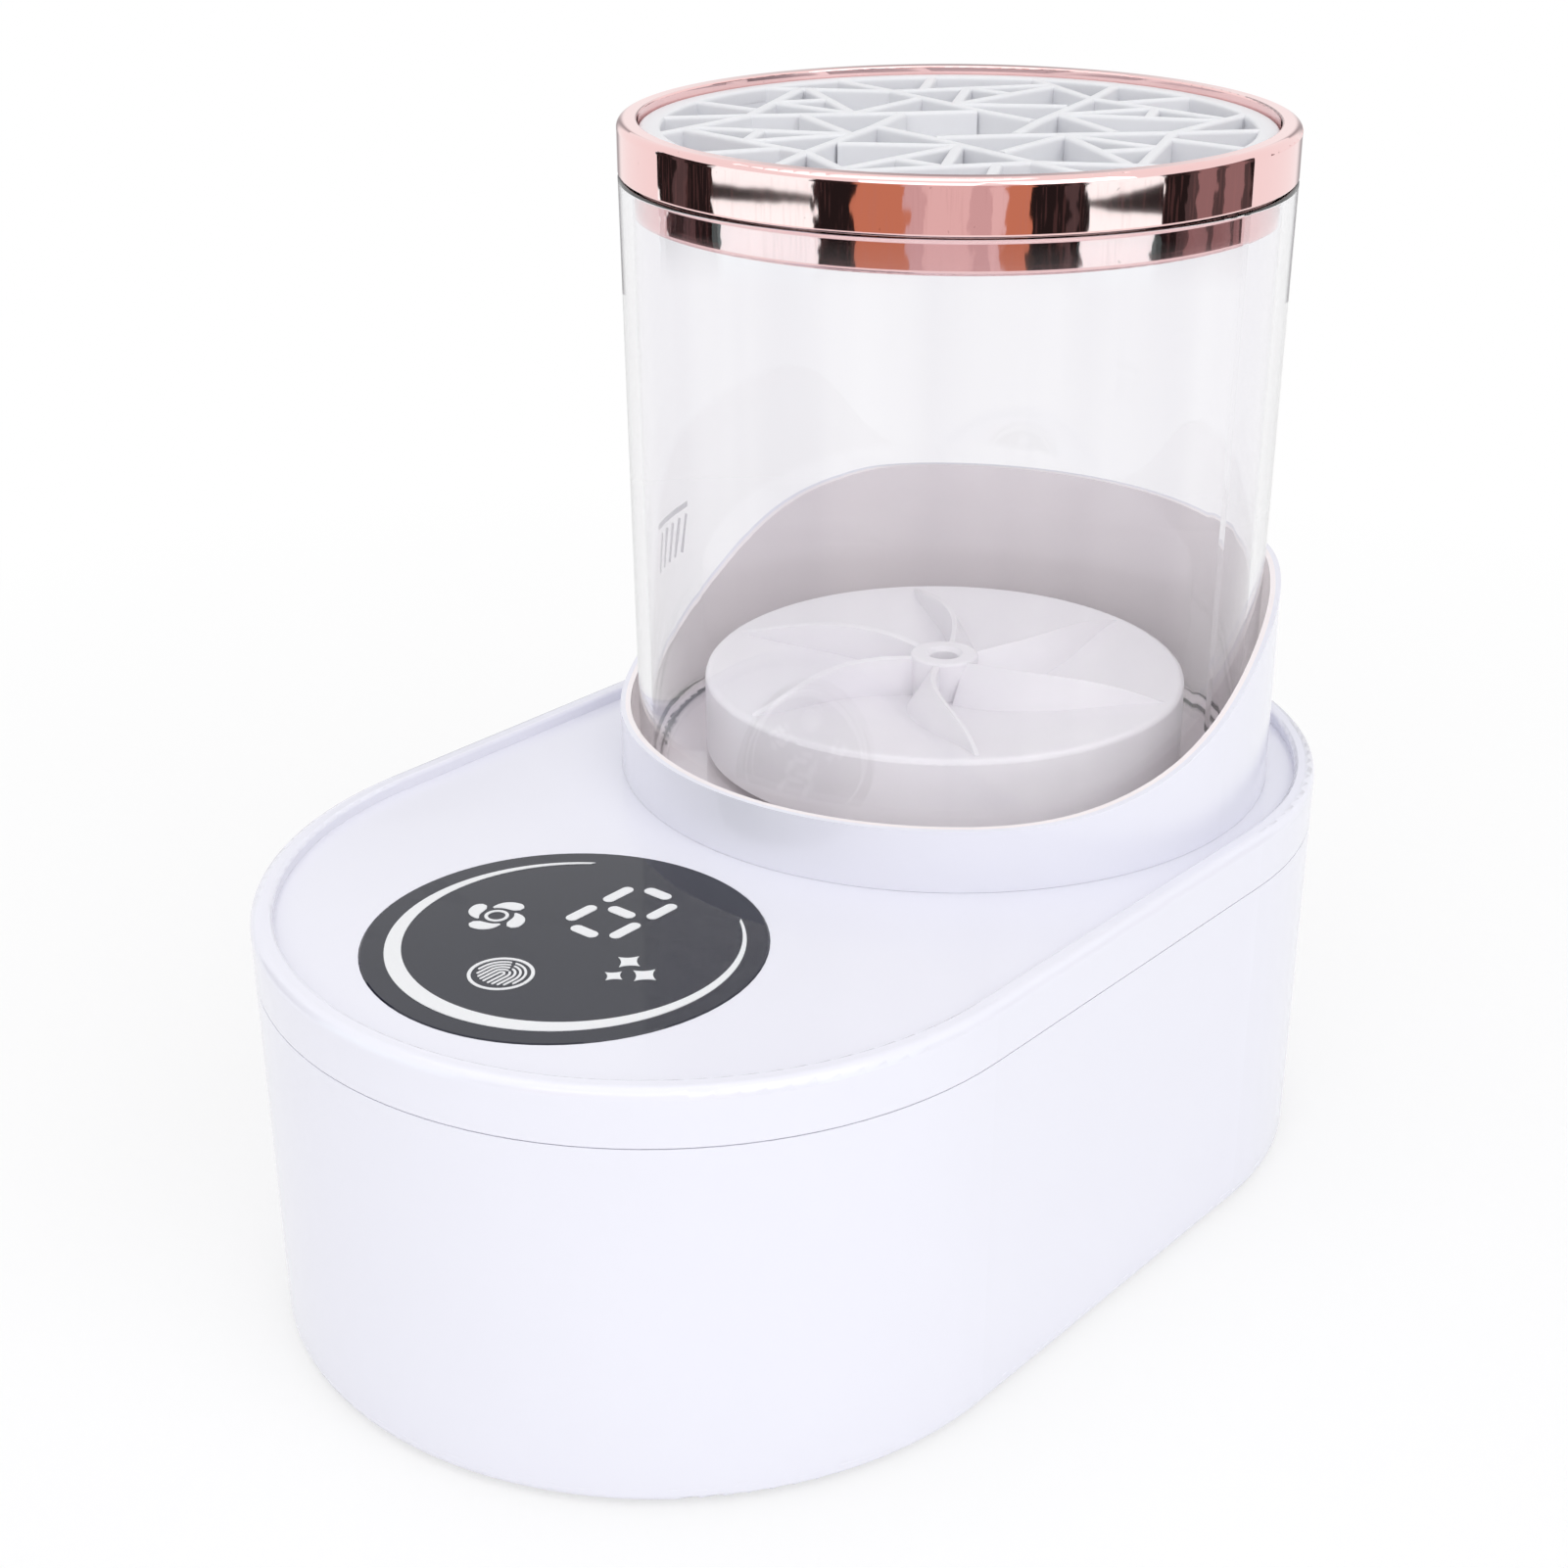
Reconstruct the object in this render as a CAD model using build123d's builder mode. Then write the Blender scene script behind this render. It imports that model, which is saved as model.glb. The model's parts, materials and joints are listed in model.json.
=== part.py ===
"""Electric make-up brush cleaner: drive base, clear wash cup with a spinning vane disc, and a ribbed lid.

Units are millimetres. The origin is on the table under the middle of the base. +Z is up, +Y runs
along the base towards the wash cup, and the touch panel is towards -Y.
"""
import os
from math import atan2, cos, degrees, hypot, radians, sin, sqrt, tan

from build123d import *

os.makedirs("parts", exist_ok=True)

# Base outline: a slot shape standing on small feet, slightly narrower at the bottom
base_radius = 59.05
half_spacing = 33.85
draft = 0.5
shell_wall = 2.4
shell_bottom = 1.0
seam_z = 56.5
seam_gap = 0.16
deck_z = 63.0
deck_thickness = 2.5
rim_z = 64.9
rim_width = 3.2
lip_depth = 3.5
shell_top = seam_z - seam_gap / 2
cover_bottom = seam_z + seam_gap / 2
deck_bottom = deck_z - deck_thickness

# Bottom plate, feet and screws
plate_thickness = 2.4
plate_top = shell_bottom + plate_thickness
ledge_top = plate_top + 2.6
ledge_width = 1.5
foot_radius = 6.8
foot_height = 1.9
foot_recess = 1.0
foot_places = [(x, y) for x in (-40, 40) for y in (-58, 58)]
case_screw_places = [(x, y) for x in (-22, 22) for y in (-79, 79)] + [(-50.5, 0), (50.5, 0)]
case_boss_radius = 3.2
case_screw_radius = 1.45

# Touch panel
panel_y = -54.5
panel_radius = 28.4
panel_thickness = 1.6
panel_proud = 0.15
print_thickness = 0.1
panel_top = deck_z + panel_proud

# Wash cup and its collar share the drive axis
cup_y = 32.75
cup_bottom = deck_z + 0.3
cup_floor = 2.2
cup_wall = 2.0
cup_top = 156.7
cup_radius_low = 48.9
cup_radius_high = 50.0
collar_outer = 52.0
collar_inner = 50.4
collar_low_z = 72.8
collar_high_z = 96.3

# Spinner disc with six swept vanes
disc_radius = 38.3
disc_bottom = 66.2
disc_rim_z = 78.2
disc_floor_z = 73.9
hub_radius = 5.4
hub_top = 80.4
spindle_radius = 2.2
spin_clearance = 0.05
vane_count = 6

# Magnetic drive
magnet_radius = 5.0
magnet_height = 4.0
magnet_ring = 20.0
magnet_count = 6
carrier_radius = 26.0
carrier_top = 60.0
shaft_radius = 1.5

# Lid
lid_radius = 50.0
lid_bottom = 157.0
lid_top = 164.7
skirt_radius = 47.6
skirt_bottom = 151.5
grid_top = 163.4
grid_bottom = 155.2
grid_flange_radius = 46.8
grid_open_radius = 43.5
rib_thickness = 1.7

cup_place = Location((0, cup_y, 0))
panel_place = Location((0, panel_y, 0))


def shell_radius(z):
    """Outside radius of the base's round ends at height z."""
    return base_radius - (rim_z - z) * tan(radians(draft))


def slot_solid(radius, z_low, z_high, taper=0.0, mode=Mode.ADD):
    """Slot-shaped block between two heights, radius given at the lower one."""
    with BuildSketch(Plane.XY.offset(z_low)) as outline:
        SlotCenterToCenter(2 * half_spacing, 2 * radius, rotation=90)
    extrude(outline.sketch, amount=z_high - z_low, taper=taper, mode=mode)


def posts(places, radius, z_low, z_high, mode=Mode.ADD):
    """Round posts, or round holes, standing at a list of places."""
    with BuildSketch(Plane.XY.offset(z_low)) as discs:
        with Locations(*places):
            Circle(radius)
    extrude(discs.sketch, amount=z_high - z_low, mode=mode)


def block(x, y, z, width, length, height, mode=Mode.ADD):
    """Rectangular block standing on z, centred on x and y."""
    with Locations((x, y, z + height / 2)):
        Box(width, length, height, mode=mode)


def ring_places(count, radius, start=0.0, centre_y=0.0):
    """Places spaced evenly round a circle."""
    turns = [radians(start + 360 * i / count) for i in range(count)]
    return [(radius * cos(t), centre_y + radius * sin(t)) for t in turns]


magnet_places = ring_places(magnet_count, magnet_ring, 30, cup_y)
drive_axis = [(0, cup_y)]

# --- Base: lower shell ---------------------------------------------------------------------------
bottom_radius = shell_radius(shell_bottom)
inner_bottom_radius = bottom_radius - shell_wall
board_z = 11.0
socket_z = 14.0
socket_width = 9.0
socket_height = 3.3
socket_gap = 0.25
vent_width = 1.8
vent_length = 14.0
vent_z = 34.0
rear_y = half_spacing + base_radius

with BuildPart() as base_shell:
    slot_solid(bottom_radius, shell_bottom, shell_top, taper=-draft)
    fillet(base_shell.faces().sort_by(Axis.Z)[0].edges(), 1.0)
    slot_solid(inner_bottom_radius, shell_bottom, plate_top + 0.1, mode=Mode.SUBTRACT)
    slot_solid(inner_bottom_radius - ledge_width, plate_top, ledge_top, mode=Mode.SUBTRACT)
    inner_radius = shell_radius(ledge_top) - shell_wall
    slot_solid(inner_radius, ledge_top, shell_top + 1, taper=-draft, mode=Mode.SUBTRACT)
    with BuildSketch(Plane.XZ.offset(-(rear_y - 8))):
        with Locations((0, socket_z)):
            SlotOverall(socket_width + 2 * socket_gap, socket_height + 2 * socket_gap)
    extrude(amount=-12, mode=Mode.SUBTRACT)
    with BuildSketch(Plane.XZ.offset(-(rear_y - 14))):
        with Locations(*[(6.0 * i, vent_z) for i in range(-3, 4)]):
            SlotOverall(vent_length, vent_width, rotation=90)
    extrude(amount=-18, mode=Mode.SUBTRACT)
base_shell.part.label = "base_shell"
export_step(base_shell.part, "parts/base_shell.step")

# --- Base: bottom plate with vents, board posts and fan pins -------------------------------------
main_board_y = -52.0
main_board_width = 62.0
main_board_length = 44.0
board_thickness = 1.6
main_post_places = [(x, main_board_y + y) for x in (-27, 27) for y in (-18, 18)]
inlet_board_y = 81.0
inlet_post_places = [(-6, 77), (6, 77)]
fan_size = 40.0
fan_hole_spacing = 32.0
fan_height = 10.0
fan_bottom = plate_top + 0.1
fan_pins = [(x, cup_y + y) for x in (-fan_hole_spacing / 2, fan_hole_spacing / 2)
            for y in (-fan_hole_spacing / 2, fan_hole_spacing / 2)]
intake_radius = 17.0

with BuildPart() as bottom_plate:
    slot_solid(inner_bottom_radius - 0.2, shell_bottom, plate_top)
    posts(foot_places, foot_radius + 0.1, shell_bottom, shell_bottom + foot_recess, mode=Mode.SUBTRACT)
    posts(case_screw_places, 3.0, shell_bottom, shell_bottom + 1.4, mode=Mode.SUBTRACT)
    posts(case_screw_places, case_screw_radius + 0.1, shell_bottom, plate_top, mode=Mode.SUBTRACT)
    with BuildSketch(Plane.XY.offset(shell_bottom)):
        for i in range(-4, 5):
            with Locations((3.8 * i, cup_y)):
                SlotOverall(2 * sqrt(intake_radius ** 2 - (3.8 * i) ** 2), 1.8, rotation=90)
    extrude(amount=plate_thickness, mode=Mode.SUBTRACT)
    posts(main_post_places, 3.0, plate_top, board_z)
    posts(main_post_places, 1.1, plate_top + 1.5, board_z, mode=Mode.SUBTRACT)
    posts(inlet_post_places, 2.2, plate_top, board_z)
    posts(inlet_post_places, 0.9, plate_top + 1.5, board_z, mode=Mode.SUBTRACT)
    posts(fan_pins, 1.6, plate_top, fan_bottom + fan_height - 0.6)
bottom_plate.part.label = "bottom_plate"
export_step(bottom_plate.part, "parts/bottom_plate.step")

with BuildPart() as feet:
    posts(foot_places, foot_radius, 0, foot_height)
    chamfer(feet.faces().group_by(Axis.Z)[0].edges(), 0.4)
feet.part.label = "feet"
export_step(feet.part, "parts/feet.step")

with BuildPart() as case_screws:
    posts(case_screw_places, 2.8, shell_bottom + 0.1, shell_bottom + 1.35)
    posts(case_screw_places, case_screw_radius, shell_bottom + 1.2, 14)
    for place in case_screw_places:
        block(place[0], place[1], shell_bottom + 0.1, 3.2, 0.8, 0.7, mode=Mode.SUBTRACT)
        block(place[0], place[1], shell_bottom + 0.1, 0.8, 3.2, 0.7, mode=Mode.SUBTRACT)
case_screws.part.label = "case_screws"
export_step(case_screws.part, "parts/case_screws.step")

# --- Base: top cover with rim, deck and hanging bosses -------------------------------------------
display_ear_places = ring_places(3, 29.5, 90, panel_y)
bracket_places = ring_places(4, 31.0, 45, cup_y)
bracket_z = 46.1
bracket_thickness = 2.0
bracket_top = bracket_z + bracket_thickness
display_board_top = deck_bottom - 2.2
tongue_mid = (collar_outer + collar_inner) / 2
lip_bottom = shell_top - lip_depth
lip_radius = shell_radius(lip_bottom) - shell_wall - 0.2

with BuildPart() as top_cover:
    slot_solid(shell_radius(cover_bottom), cover_bottom, rim_z, taper=-draft)
    fillet(top_cover.faces().sort_by(Axis.Z)[-1].edges(), 1.5)
    slot_solid(shell_radius(deck_z) - rim_width, deck_z, rim_z + 1, taper=-draft, mode=Mode.SUBTRACT)
    rim_face = top_cover.faces().filter_by(Axis.Z).sort_by(Axis.Z)[-1]
    fillet(rim_face.inner_wires()[0].edges(), 0.6)
    slot_solid(shell_radius(cover_bottom) - shell_wall, cover_bottom - 1, deck_bottom, mode=Mode.SUBTRACT)
    slot_solid(lip_radius, lip_bottom, cover_bottom + 0.6)
    slot_solid(shell_radius(cover_bottom) - shell_wall + 0.3, cover_bottom, cover_bottom + 1.4)
    slot_solid(lip_radius - 1.6, lip_bottom - 1, deck_bottom, mode=Mode.SUBTRACT)
    with Locations(panel_place):
        with Locations((0, 0, deck_z)):
            Cylinder(panel_radius + 0.1, 2 * (panel_thickness - panel_proud), mode=Mode.SUBTRACT)
            Cylinder(panel_radius - 2.0, 20, mode=Mode.SUBTRACT)
    with BuildSketch(Plane.XY.offset(deck_z)):
        with Locations(cup_place):
            Circle(tongue_mid + 0.4)
            Circle(tongue_mid - 0.4, mode=Mode.SUBTRACT)
    extrude(amount=-1.2, mode=Mode.SUBTRACT)
    posts(case_screw_places, case_boss_radius, plate_top + 0.1, deck_bottom)
    posts(case_screw_places, case_screw_radius + 0.05, plate_top, 15, mode=Mode.SUBTRACT)
    posts(bracket_places, 3.2, bracket_top + 0.1, deck_bottom)
    posts(bracket_places, 1.25, bracket_top, deck_bottom - 2, mode=Mode.SUBTRACT)
    posts(display_ear_places, 3.0, display_board_top + 0.05, deck_bottom)
    posts(display_ear_places, 1.05, display_board_top, deck_z - 1, mode=Mode.SUBTRACT)
top_cover.part.label = "top_cover"
export_step(top_cover.part, "parts/top_cover.step")

# --- Base: cup collar, low at the panel side and sweeping up to the rear -------------------------
# Height of the collar's edge along the base, measured from the cup's axis
edge_profile = [
    (-38, collar_low_z), (-26, 73.6), (-17, 75.5), (-9, 78.1), (-3, 80.8),
    (4, 84.6), (12, 89.2), (20, 92.9), (28, 95.2), (42, collar_high_z),
]

with BuildPart() as cup_collar:
    with BuildSketch(Plane.XY.offset(deck_z + 0.05)):
        with Locations(cup_place):
            Circle(collar_outer)
            Circle(collar_inner, mode=Mode.SUBTRACT)
    extrude(amount=collar_high_z - deck_z)
    with BuildSketch(Plane.XY.offset(deck_z - 1.1)):
        with Locations(cup_place):
            Circle(tongue_mid + 0.35)
            Circle(tongue_mid - 0.35, mode=Mode.SUBTRACT)
    extrude(amount=1.5)
    with BuildSketch(Plane.YZ):
        with BuildLine():
            edge_start = (cup_y - collar_outer - 5, collar_low_z)
            edge_end = (cup_y + collar_outer + 5, collar_high_z)
            edge_points = [(cup_y + y, z) for y, z in edge_profile]
            Line(edge_start, edge_points[0])
            Spline(*edge_points, tangents=((1, 0), (1, 0)))
            Line(edge_points[-1], edge_end)
            Polyline(edge_end, (edge_end[0], 120), (edge_start[0], 120), edge_start)
        make_face()
    extrude(amount=collar_outer + 5, both=True, mode=Mode.SUBTRACT)
cup_collar.part.label = "cup_collar"
export_step(cup_collar.part, "parts/cup_collar.step")

# --- Base: touch panel ---------------------------------------------------------------------------
with BuildPart() as panel_window:
    with Locations(Location((0, panel_y, panel_top - panel_thickness / 2))):
        Cylinder(panel_radius, panel_thickness)
    chamfer(panel_window.faces().sort_by(Axis.Z)[-1].edges(), 0.15)
panel_window.part.label = "panel_window"
export_step(panel_window.part, "parts/panel_window.step")

# White printed marks: crescent, digit bars, fan, sparkles and finger pad
crescent_outer = 25.1
crescent_inner = 23.7
crescent_shift = 1.25
digit_x = 4.25
digit_y = 11.4
bar_width = 1.9
side_bar_length = 5.6
cross_bar_length = 4.7
digit_step = 7.6
fan_mark = (-12.9, -0.7)
finger_mark = (0, -12.4)
sparkles = [((11.0, 1.2), 2.0), ((15.3, -0.3), 2.1), ((12.2, -3.1), 1.6)]

with BuildPart() as panel_marks:
    with BuildSketch(Plane((0, panel_y, panel_top + 0.01))):
        Circle(crescent_outer)
        with Locations((0, crescent_shift)):
            Circle(crescent_inner, mode=Mode.SUBTRACT)
        with Locations((0, crescent_outer)):
            Rectangle(29, 10.2, mode=Mode.SUBTRACT)
        for row in (-1, 0, 1):
            with Locations((0, digit_y + row * digit_step)):
                SlotOverall(cross_bar_length, bar_width)
        for row in (-0.5, 0.5):
            with Locations((-digit_x, digit_y + row * digit_step), (digit_x, digit_y + row * digit_step)):
                SlotOverall(side_bar_length, bar_width - 0.1, rotation=90)
        with Locations(fan_mark):
            Circle(1.75)
            Circle(1.3, mode=Mode.SUBTRACT)
        for turn in range(4):
            with Locations(Location((fan_mark[0], fan_mark[1], 0), (0, 0, 90 * turn))):
                with Locations(Location((0.1, 3.0, 0), (0, 0, 20))):
                    Ellipse(1.9, 0.95)
        for place, reach in sparkles:
            with Locations(place):
                Rectangle(1.1 * reach, 1.1 * reach, rotation=45)
                with Locations(*[(0.8 * reach * i, 0.8 * reach * j) for i in (-1, 1) for j in (-1, 1)]):
                    Circle(0.62 * reach, mode=Mode.SUBTRACT)
        with Locations(finger_mark):
            Circle(4.6)
            Circle(4.1, mode=Mode.SUBTRACT)
            for ridge in range(4):
                Ellipse(0.75 + 0.8 * ridge, 0.75 + 0.8 * ridge)
                Ellipse(0.45 + 0.8 * ridge, 0.45 + 0.8 * ridge, mode=Mode.SUBTRACT)
    extrude(amount=print_thickness)
panel_marks.part.label = "panel_marks"
export_step(panel_marks.part, "parts/panel_marks.step")

# Light board under the panel: three ears on posts, a digit block, lamps and a finger sensor
lamp_height = 1.2
digit_block_height = 2.6

with BuildPart() as light_board:
    with BuildSketch(Plane.XY.offset(display_board_top - board_thickness)):
        with Locations(panel_place):
            Circle(26)
        with Locations(*display_ear_places):
            Circle(4.2)
    extrude(amount=board_thickness)
    posts(display_ear_places, 1.2, display_board_top - 3, display_board_top + 1, mode=Mode.SUBTRACT)
light_board.part.label = "light_board"
export_step(light_board.part, "parts/light_board.step")

with BuildPart() as lamps:
    block(0, panel_y + digit_y, display_board_top + 0.02, 13, 20, digit_block_height)
    for x, y in ring_places(14, 22.8, 167, panel_y)[:12]:
        block(x, y, display_board_top + 0.02, 2.0, 2.0, lamp_height)
    block(fan_mark[0], panel_y + fan_mark[1], display_board_top + 0.02, 3.2, 2.8, lamp_height)
    block(12.6, panel_y - 0.6, display_board_top + 0.02, 3.2, 2.8, lamp_height)
lamps.part.label = "lamps"
export_step(lamps.part, "parts/lamps.step")

with BuildPart() as finger_sensor:
    with Locations((0, panel_y + finger_mark[1], display_board_top + 0.02)):
        Cylinder(4.4, panel_top - panel_thickness - display_board_top - 0.1,
                 align=(Align.CENTER, Align.CENTER, Align.MIN))
        Cylinder(3.2, 2, align=(Align.CENTER, Align.CENTER, Align.MIN), mode=Mode.SUBTRACT)
finger_sensor.part.label = "finger_sensor"
export_step(finger_sensor.part, "parts/finger_sensor.step")

with BuildPart() as light_board_screws:
    screw_top = display_board_top - board_thickness - 0.02
    posts(display_ear_places, 2.0, screw_top - 1.3, screw_top)
    posts(display_ear_places, 1.0, screw_top - 0.1, deck_z - 1.4)
light_board_screws.part.label = "light_board_screws"
export_step(light_board_screws.part, "parts/light_board_screws.step")

# --- Control board on its posts ------------------------------------------------------------------
board_top = board_z + 0.05 + board_thickness

with BuildPart() as control_board:
    block(0, main_board_y, board_z + 0.05, main_board_width, main_board_length, board_thickness)
    fillet(control_board.edges().filter_by(Axis.Z), 2)
    posts(main_post_places, 1.3, board_z - 1, board_top + 1, mode=Mode.SUBTRACT)
control_board.part.label = "control_board"
export_step(control_board.part, "parts/control_board.step")

with BuildPart() as board_parts:
    part_z = board_top + 0.02
    block(-8, main_board_y + 2, part_z, 12, 12, 1.6)
    block(10, main_board_y + 8, part_z, 6.5, 5, 1.5)
    block(10, main_board_y - 4, part_z, 8, 8, 4)
    block(22, main_board_y - 4, part_z, 8, 8, 4)
    block(-22, main_board_y, part_z, 10, 5.8, 7)
    block(-6, main_board_y + 17, part_z, 15, 5.8, 7)
    block(-2, main_board_y - 16, part_z, 12, 5.8, 7)
    with Locations((14, main_board_y - 16, part_z), (22.5, main_board_y + 6, part_z)):
        Cylinder(4, 11, align=(Align.CENTER, Align.CENTER, Align.MIN))
board_parts.part.label = "board_parts"
export_step(board_parts.part, "parts/board_parts.step")

with BuildPart() as board_screws:
    posts(main_post_places, 2.2, board_top + 0.02, board_top + 1.6)
    posts(main_post_places, 1.05, plate_top + 2, board_top + 0.5)
board_screws.part.label = "board_screws"
export_step(board_screws.part, "parts/board_screws.step")

# --- Power inlet at the rear ---------------------------------------------------------------------
socket_front = rear_y - 0.9
socket_depth = 7.4

with BuildPart() as inlet_board:
    block(0, inlet_board_y, board_z + 0.05, 18, 16, 1.25)
    posts(inlet_post_places, 1.1, board_z - 1, board_z + 3, mode=Mode.SUBTRACT)
inlet_board.part.label = "inlet_board"
export_step(inlet_board.part, "parts/inlet_board.step")

with BuildPart() as power_socket:
    with BuildSketch(Plane.XZ.offset(-(socket_front - socket_depth))):
        with Locations((0, socket_z)):
            SlotOverall(socket_width, socket_height)
    extrude(amount=-socket_depth)
    with BuildSketch(Plane.XZ.offset(-(socket_front - socket_depth + 1.2))):
        with Locations((0, socket_z)):
            SlotOverall(socket_width - 0.7, socket_height - 0.7)
    extrude(amount=-socket_depth, mode=Mode.SUBTRACT)
    block(0, socket_front - socket_depth + 3.2, socket_z - 0.35, 6.6, 4.6, 0.7)
power_socket.part.label = "power_socket"
export_step(power_socket.part, "parts/power_socket.step")

with BuildPart() as inlet_screws:
    posts(inlet_post_places, 1.9, board_z + 1.32, board_z + 2.5)
    posts(inlet_post_places, 0.85, plate_top + 2, board_z + 1.6)
inlet_screws.part.label = "inlet_screws"
export_step(inlet_screws.part, "parts/inlet_screws.step")

# --- Cooling fan under the motor -----------------------------------------------------------------
fan_bore = 18.6
fan_pin_radius = 1.2
fan_hub_radius = 8.5
blade_count = 7
blade_reach = 18.1

with BuildPart() as fan_frame:
    block(0, cup_y, fan_bottom, fan_size, fan_size, fan_height)
    fillet(fan_frame.edges().filter_by(Axis.Z), 3)
    with BuildSketch(Plane.XY.offset(fan_bottom)):
        with Locations(cup_place):
            Circle(fan_bore)
            for turn in (45, 135):
                Rectangle(2 * fan_bore + 1, 2.4, rotation=turn, mode=Mode.SUBTRACT)
            Circle(7, mode=Mode.SUBTRACT)
    extrude(amount=1.6, mode=Mode.SUBTRACT)
    with Locations((0, cup_y, fan_bottom + 1.6)):
        Cylinder(fan_bore, fan_height, align=(Align.CENTER, Align.CENTER, Align.MIN), mode=Mode.SUBTRACT)
    posts(drive_axis, fan_pin_radius, fan_bottom + 1, fan_bottom + 7.5)
    posts(fan_pins, 1.75, fan_bottom - 1, fan_bottom + fan_height + 1, mode=Mode.SUBTRACT)
fan_frame.part.label = "fan_frame"
export_step(fan_frame.part, "parts/fan_frame.step")

with BuildPart() as fan_rotor:
    hub_low = fan_bottom + 2.0
    hub_high = fan_bottom + 9.2
    posts(drive_axis, fan_hub_radius, hub_low, hub_high)
    fillet(fan_rotor.faces().sort_by(Axis.Z)[-1].edges(), 0.8)
    for x, y in ring_places(blade_count, 1.0):
        turn = degrees(atan2(y, x))
        blade_x, blade_y = (fan_hub_radius - 0.5) * x, cup_y + (fan_hub_radius - 0.5) * y
        blade_root = (blade_x, blade_y, (hub_low + hub_high) / 2)
        with BuildSketch(Plane(origin=blade_root, x_dir=(-y, x, 0), z_dir=(x, y, 0))):
            Rectangle(8.2, 0.9, rotation=38)
        extrude(amount=blade_reach - fan_hub_radius + 0.2)
    posts(drive_axis, fan_pin_radius + spin_clearance, hub_low - 1, fan_bottom + 7.8, mode=Mode.SUBTRACT)
fan_rotor.part.label = "fan_rotor"
export_step(fan_rotor.part, "parts/fan_rotor.step")

# --- Drive motor, bracket and rotor --------------------------------------------------------------
motor_radius = 16.0
motor_bottom = 18.0
motor_boss_radius = 5.5

with BuildPart() as drive_motor:
    posts(drive_axis, motor_radius, motor_bottom, bracket_z - 0.05)
    fillet(drive_motor.edges().filter_by(GeomType.CIRCLE), 1.5)
    posts(drive_axis, motor_boss_radius, bracket_z - 1, bracket_top + 0.4)
    posts(drive_axis, shaft_radius + spin_clearance, bracket_z - 6, bracket_top + 1, mode=Mode.SUBTRACT)
    for x in (-5, 5):
        block(x, cup_y + 9, motor_bottom - 3, 2.8, 0.6, 3.2)
drive_motor.part.label = "drive_motor"
export_step(drive_motor.part, "parts/drive_motor.step")

with BuildPart() as motor_bracket:
    with BuildSketch(Plane.XY.offset(bracket_z)):
        with Locations(cup_place):
            Circle(20)
            for turn in (45, 135):
                Rectangle(62, 7, rotation=turn)
        with Locations(*bracket_places):
            Circle(4.6)
        with Locations(cup_place):
            Circle(motor_boss_radius + 0.1, mode=Mode.SUBTRACT)
    extrude(amount=bracket_thickness)
    posts(bracket_places, 1.5, bracket_z - 1, bracket_top + 1, mode=Mode.SUBTRACT)
motor_bracket.part.label = "motor_bracket"
export_step(motor_bracket.part, "parts/motor_bracket.step")

with BuildPart() as bracket_screws:
    posts(bracket_places, 2.6, bracket_z - 1.8, bracket_z - 0.02)
    posts(bracket_places, 1.2, bracket_z - 0.5, deck_bottom - 3)
bracket_screws.part.label = "bracket_screws"
export_step(bracket_screws.part, "parts/bracket_screws.step")

with BuildPart() as rotor_shaft:
    posts(drive_axis, shaft_radius, bracket_z - 5.6, carrier_top - 0.6)
    chamfer(rotor_shaft.faces().sort_by(Axis.Z)[-1].edges(), 0.3)
rotor_shaft.part.label = "rotor_shaft"
export_step(rotor_shaft.part, "parts/rotor_shaft.step")

with BuildPart() as magnet_carrier:
    posts(drive_axis, carrier_radius, carrier_top - 6, carrier_top)
    fillet(magnet_carrier.edges().filter_by(GeomType.CIRCLE), 0.8)
    posts(drive_axis, 5.0, bracket_top + 1.2, carrier_top - 5)
    posts(drive_axis, shaft_radius, bracket_top, carrier_top - 0.5, mode=Mode.SUBTRACT)
    pocket_floor = carrier_top - magnet_height
    posts(magnet_places, magnet_radius + 0.05, pocket_floor, carrier_top + 1, mode=Mode.SUBTRACT)
    posts(drive_axis, 12.0, carrier_top - 1.2, carrier_top + 1, mode=Mode.SUBTRACT)
magnet_carrier.part.label = "magnet_carrier"
export_step(magnet_carrier.part, "parts/magnet_carrier.step")

with BuildPart() as drive_magnets:
    posts(magnet_places, magnet_radius, pocket_floor + 0.02, carrier_top - 0.05)
drive_magnets.part.label = "drive_magnets"
export_step(drive_magnets.part, "parts/drive_magnets.step")

# --- Wash cup with its spindle -------------------------------------------------------------------
axis_plane = Plane(origin=(0, cup_y, 0), x_dir=(1, 0, 0), z_dir=(0, -1, 0))
cup_axis = Axis((0, cup_y, 0), (0, 0, 1))
floor_top = cup_bottom + cup_floor


def cup_radius(z):
    """Outside radius of the wash cup at height z."""
    return cup_radius_low + (cup_radius_high - cup_radius_low) * (z - cup_bottom) / (cup_top - cup_bottom)


def ring_edge(part, radius, z):
    """Round edges of a part with this radius at this height."""
    circles = part.edges().filter_by(GeomType.CIRCLE)
    at_height = circles.filter_by(lambda edge: abs(edge.arc_center.Z - z) < 0.02)
    return at_height.filter_by(lambda edge: abs(edge.radius - radius) < 0.02)


floor_radius = cup_radius(floor_top) - cup_wall

with BuildPart() as wash_cup:
    with BuildSketch(axis_plane):
        Polygon((0, cup_bottom), (cup_radius_low, cup_bottom), (cup_radius_high, cup_top),
                (cup_radius_high - cup_wall, cup_top), (floor_radius, floor_top), (0, floor_top), align=None)
    revolve(axis=cup_axis)
    fillet(ring_edge(wash_cup, cup_radius_low, cup_bottom), 1.8)
    fillet(ring_edge(wash_cup, floor_radius, floor_top), 2.5)
    fillet(wash_cup.faces().sort_by(Axis.Z)[-1].edges(), 0.5)
    posts(drive_axis, spindle_radius, floor_top - 1.2, floor_top + 1, mode=Mode.SUBTRACT)
wash_cup.part.label = "wash_cup"
export_step(wash_cup.part, "parts/wash_cup.step")

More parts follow.
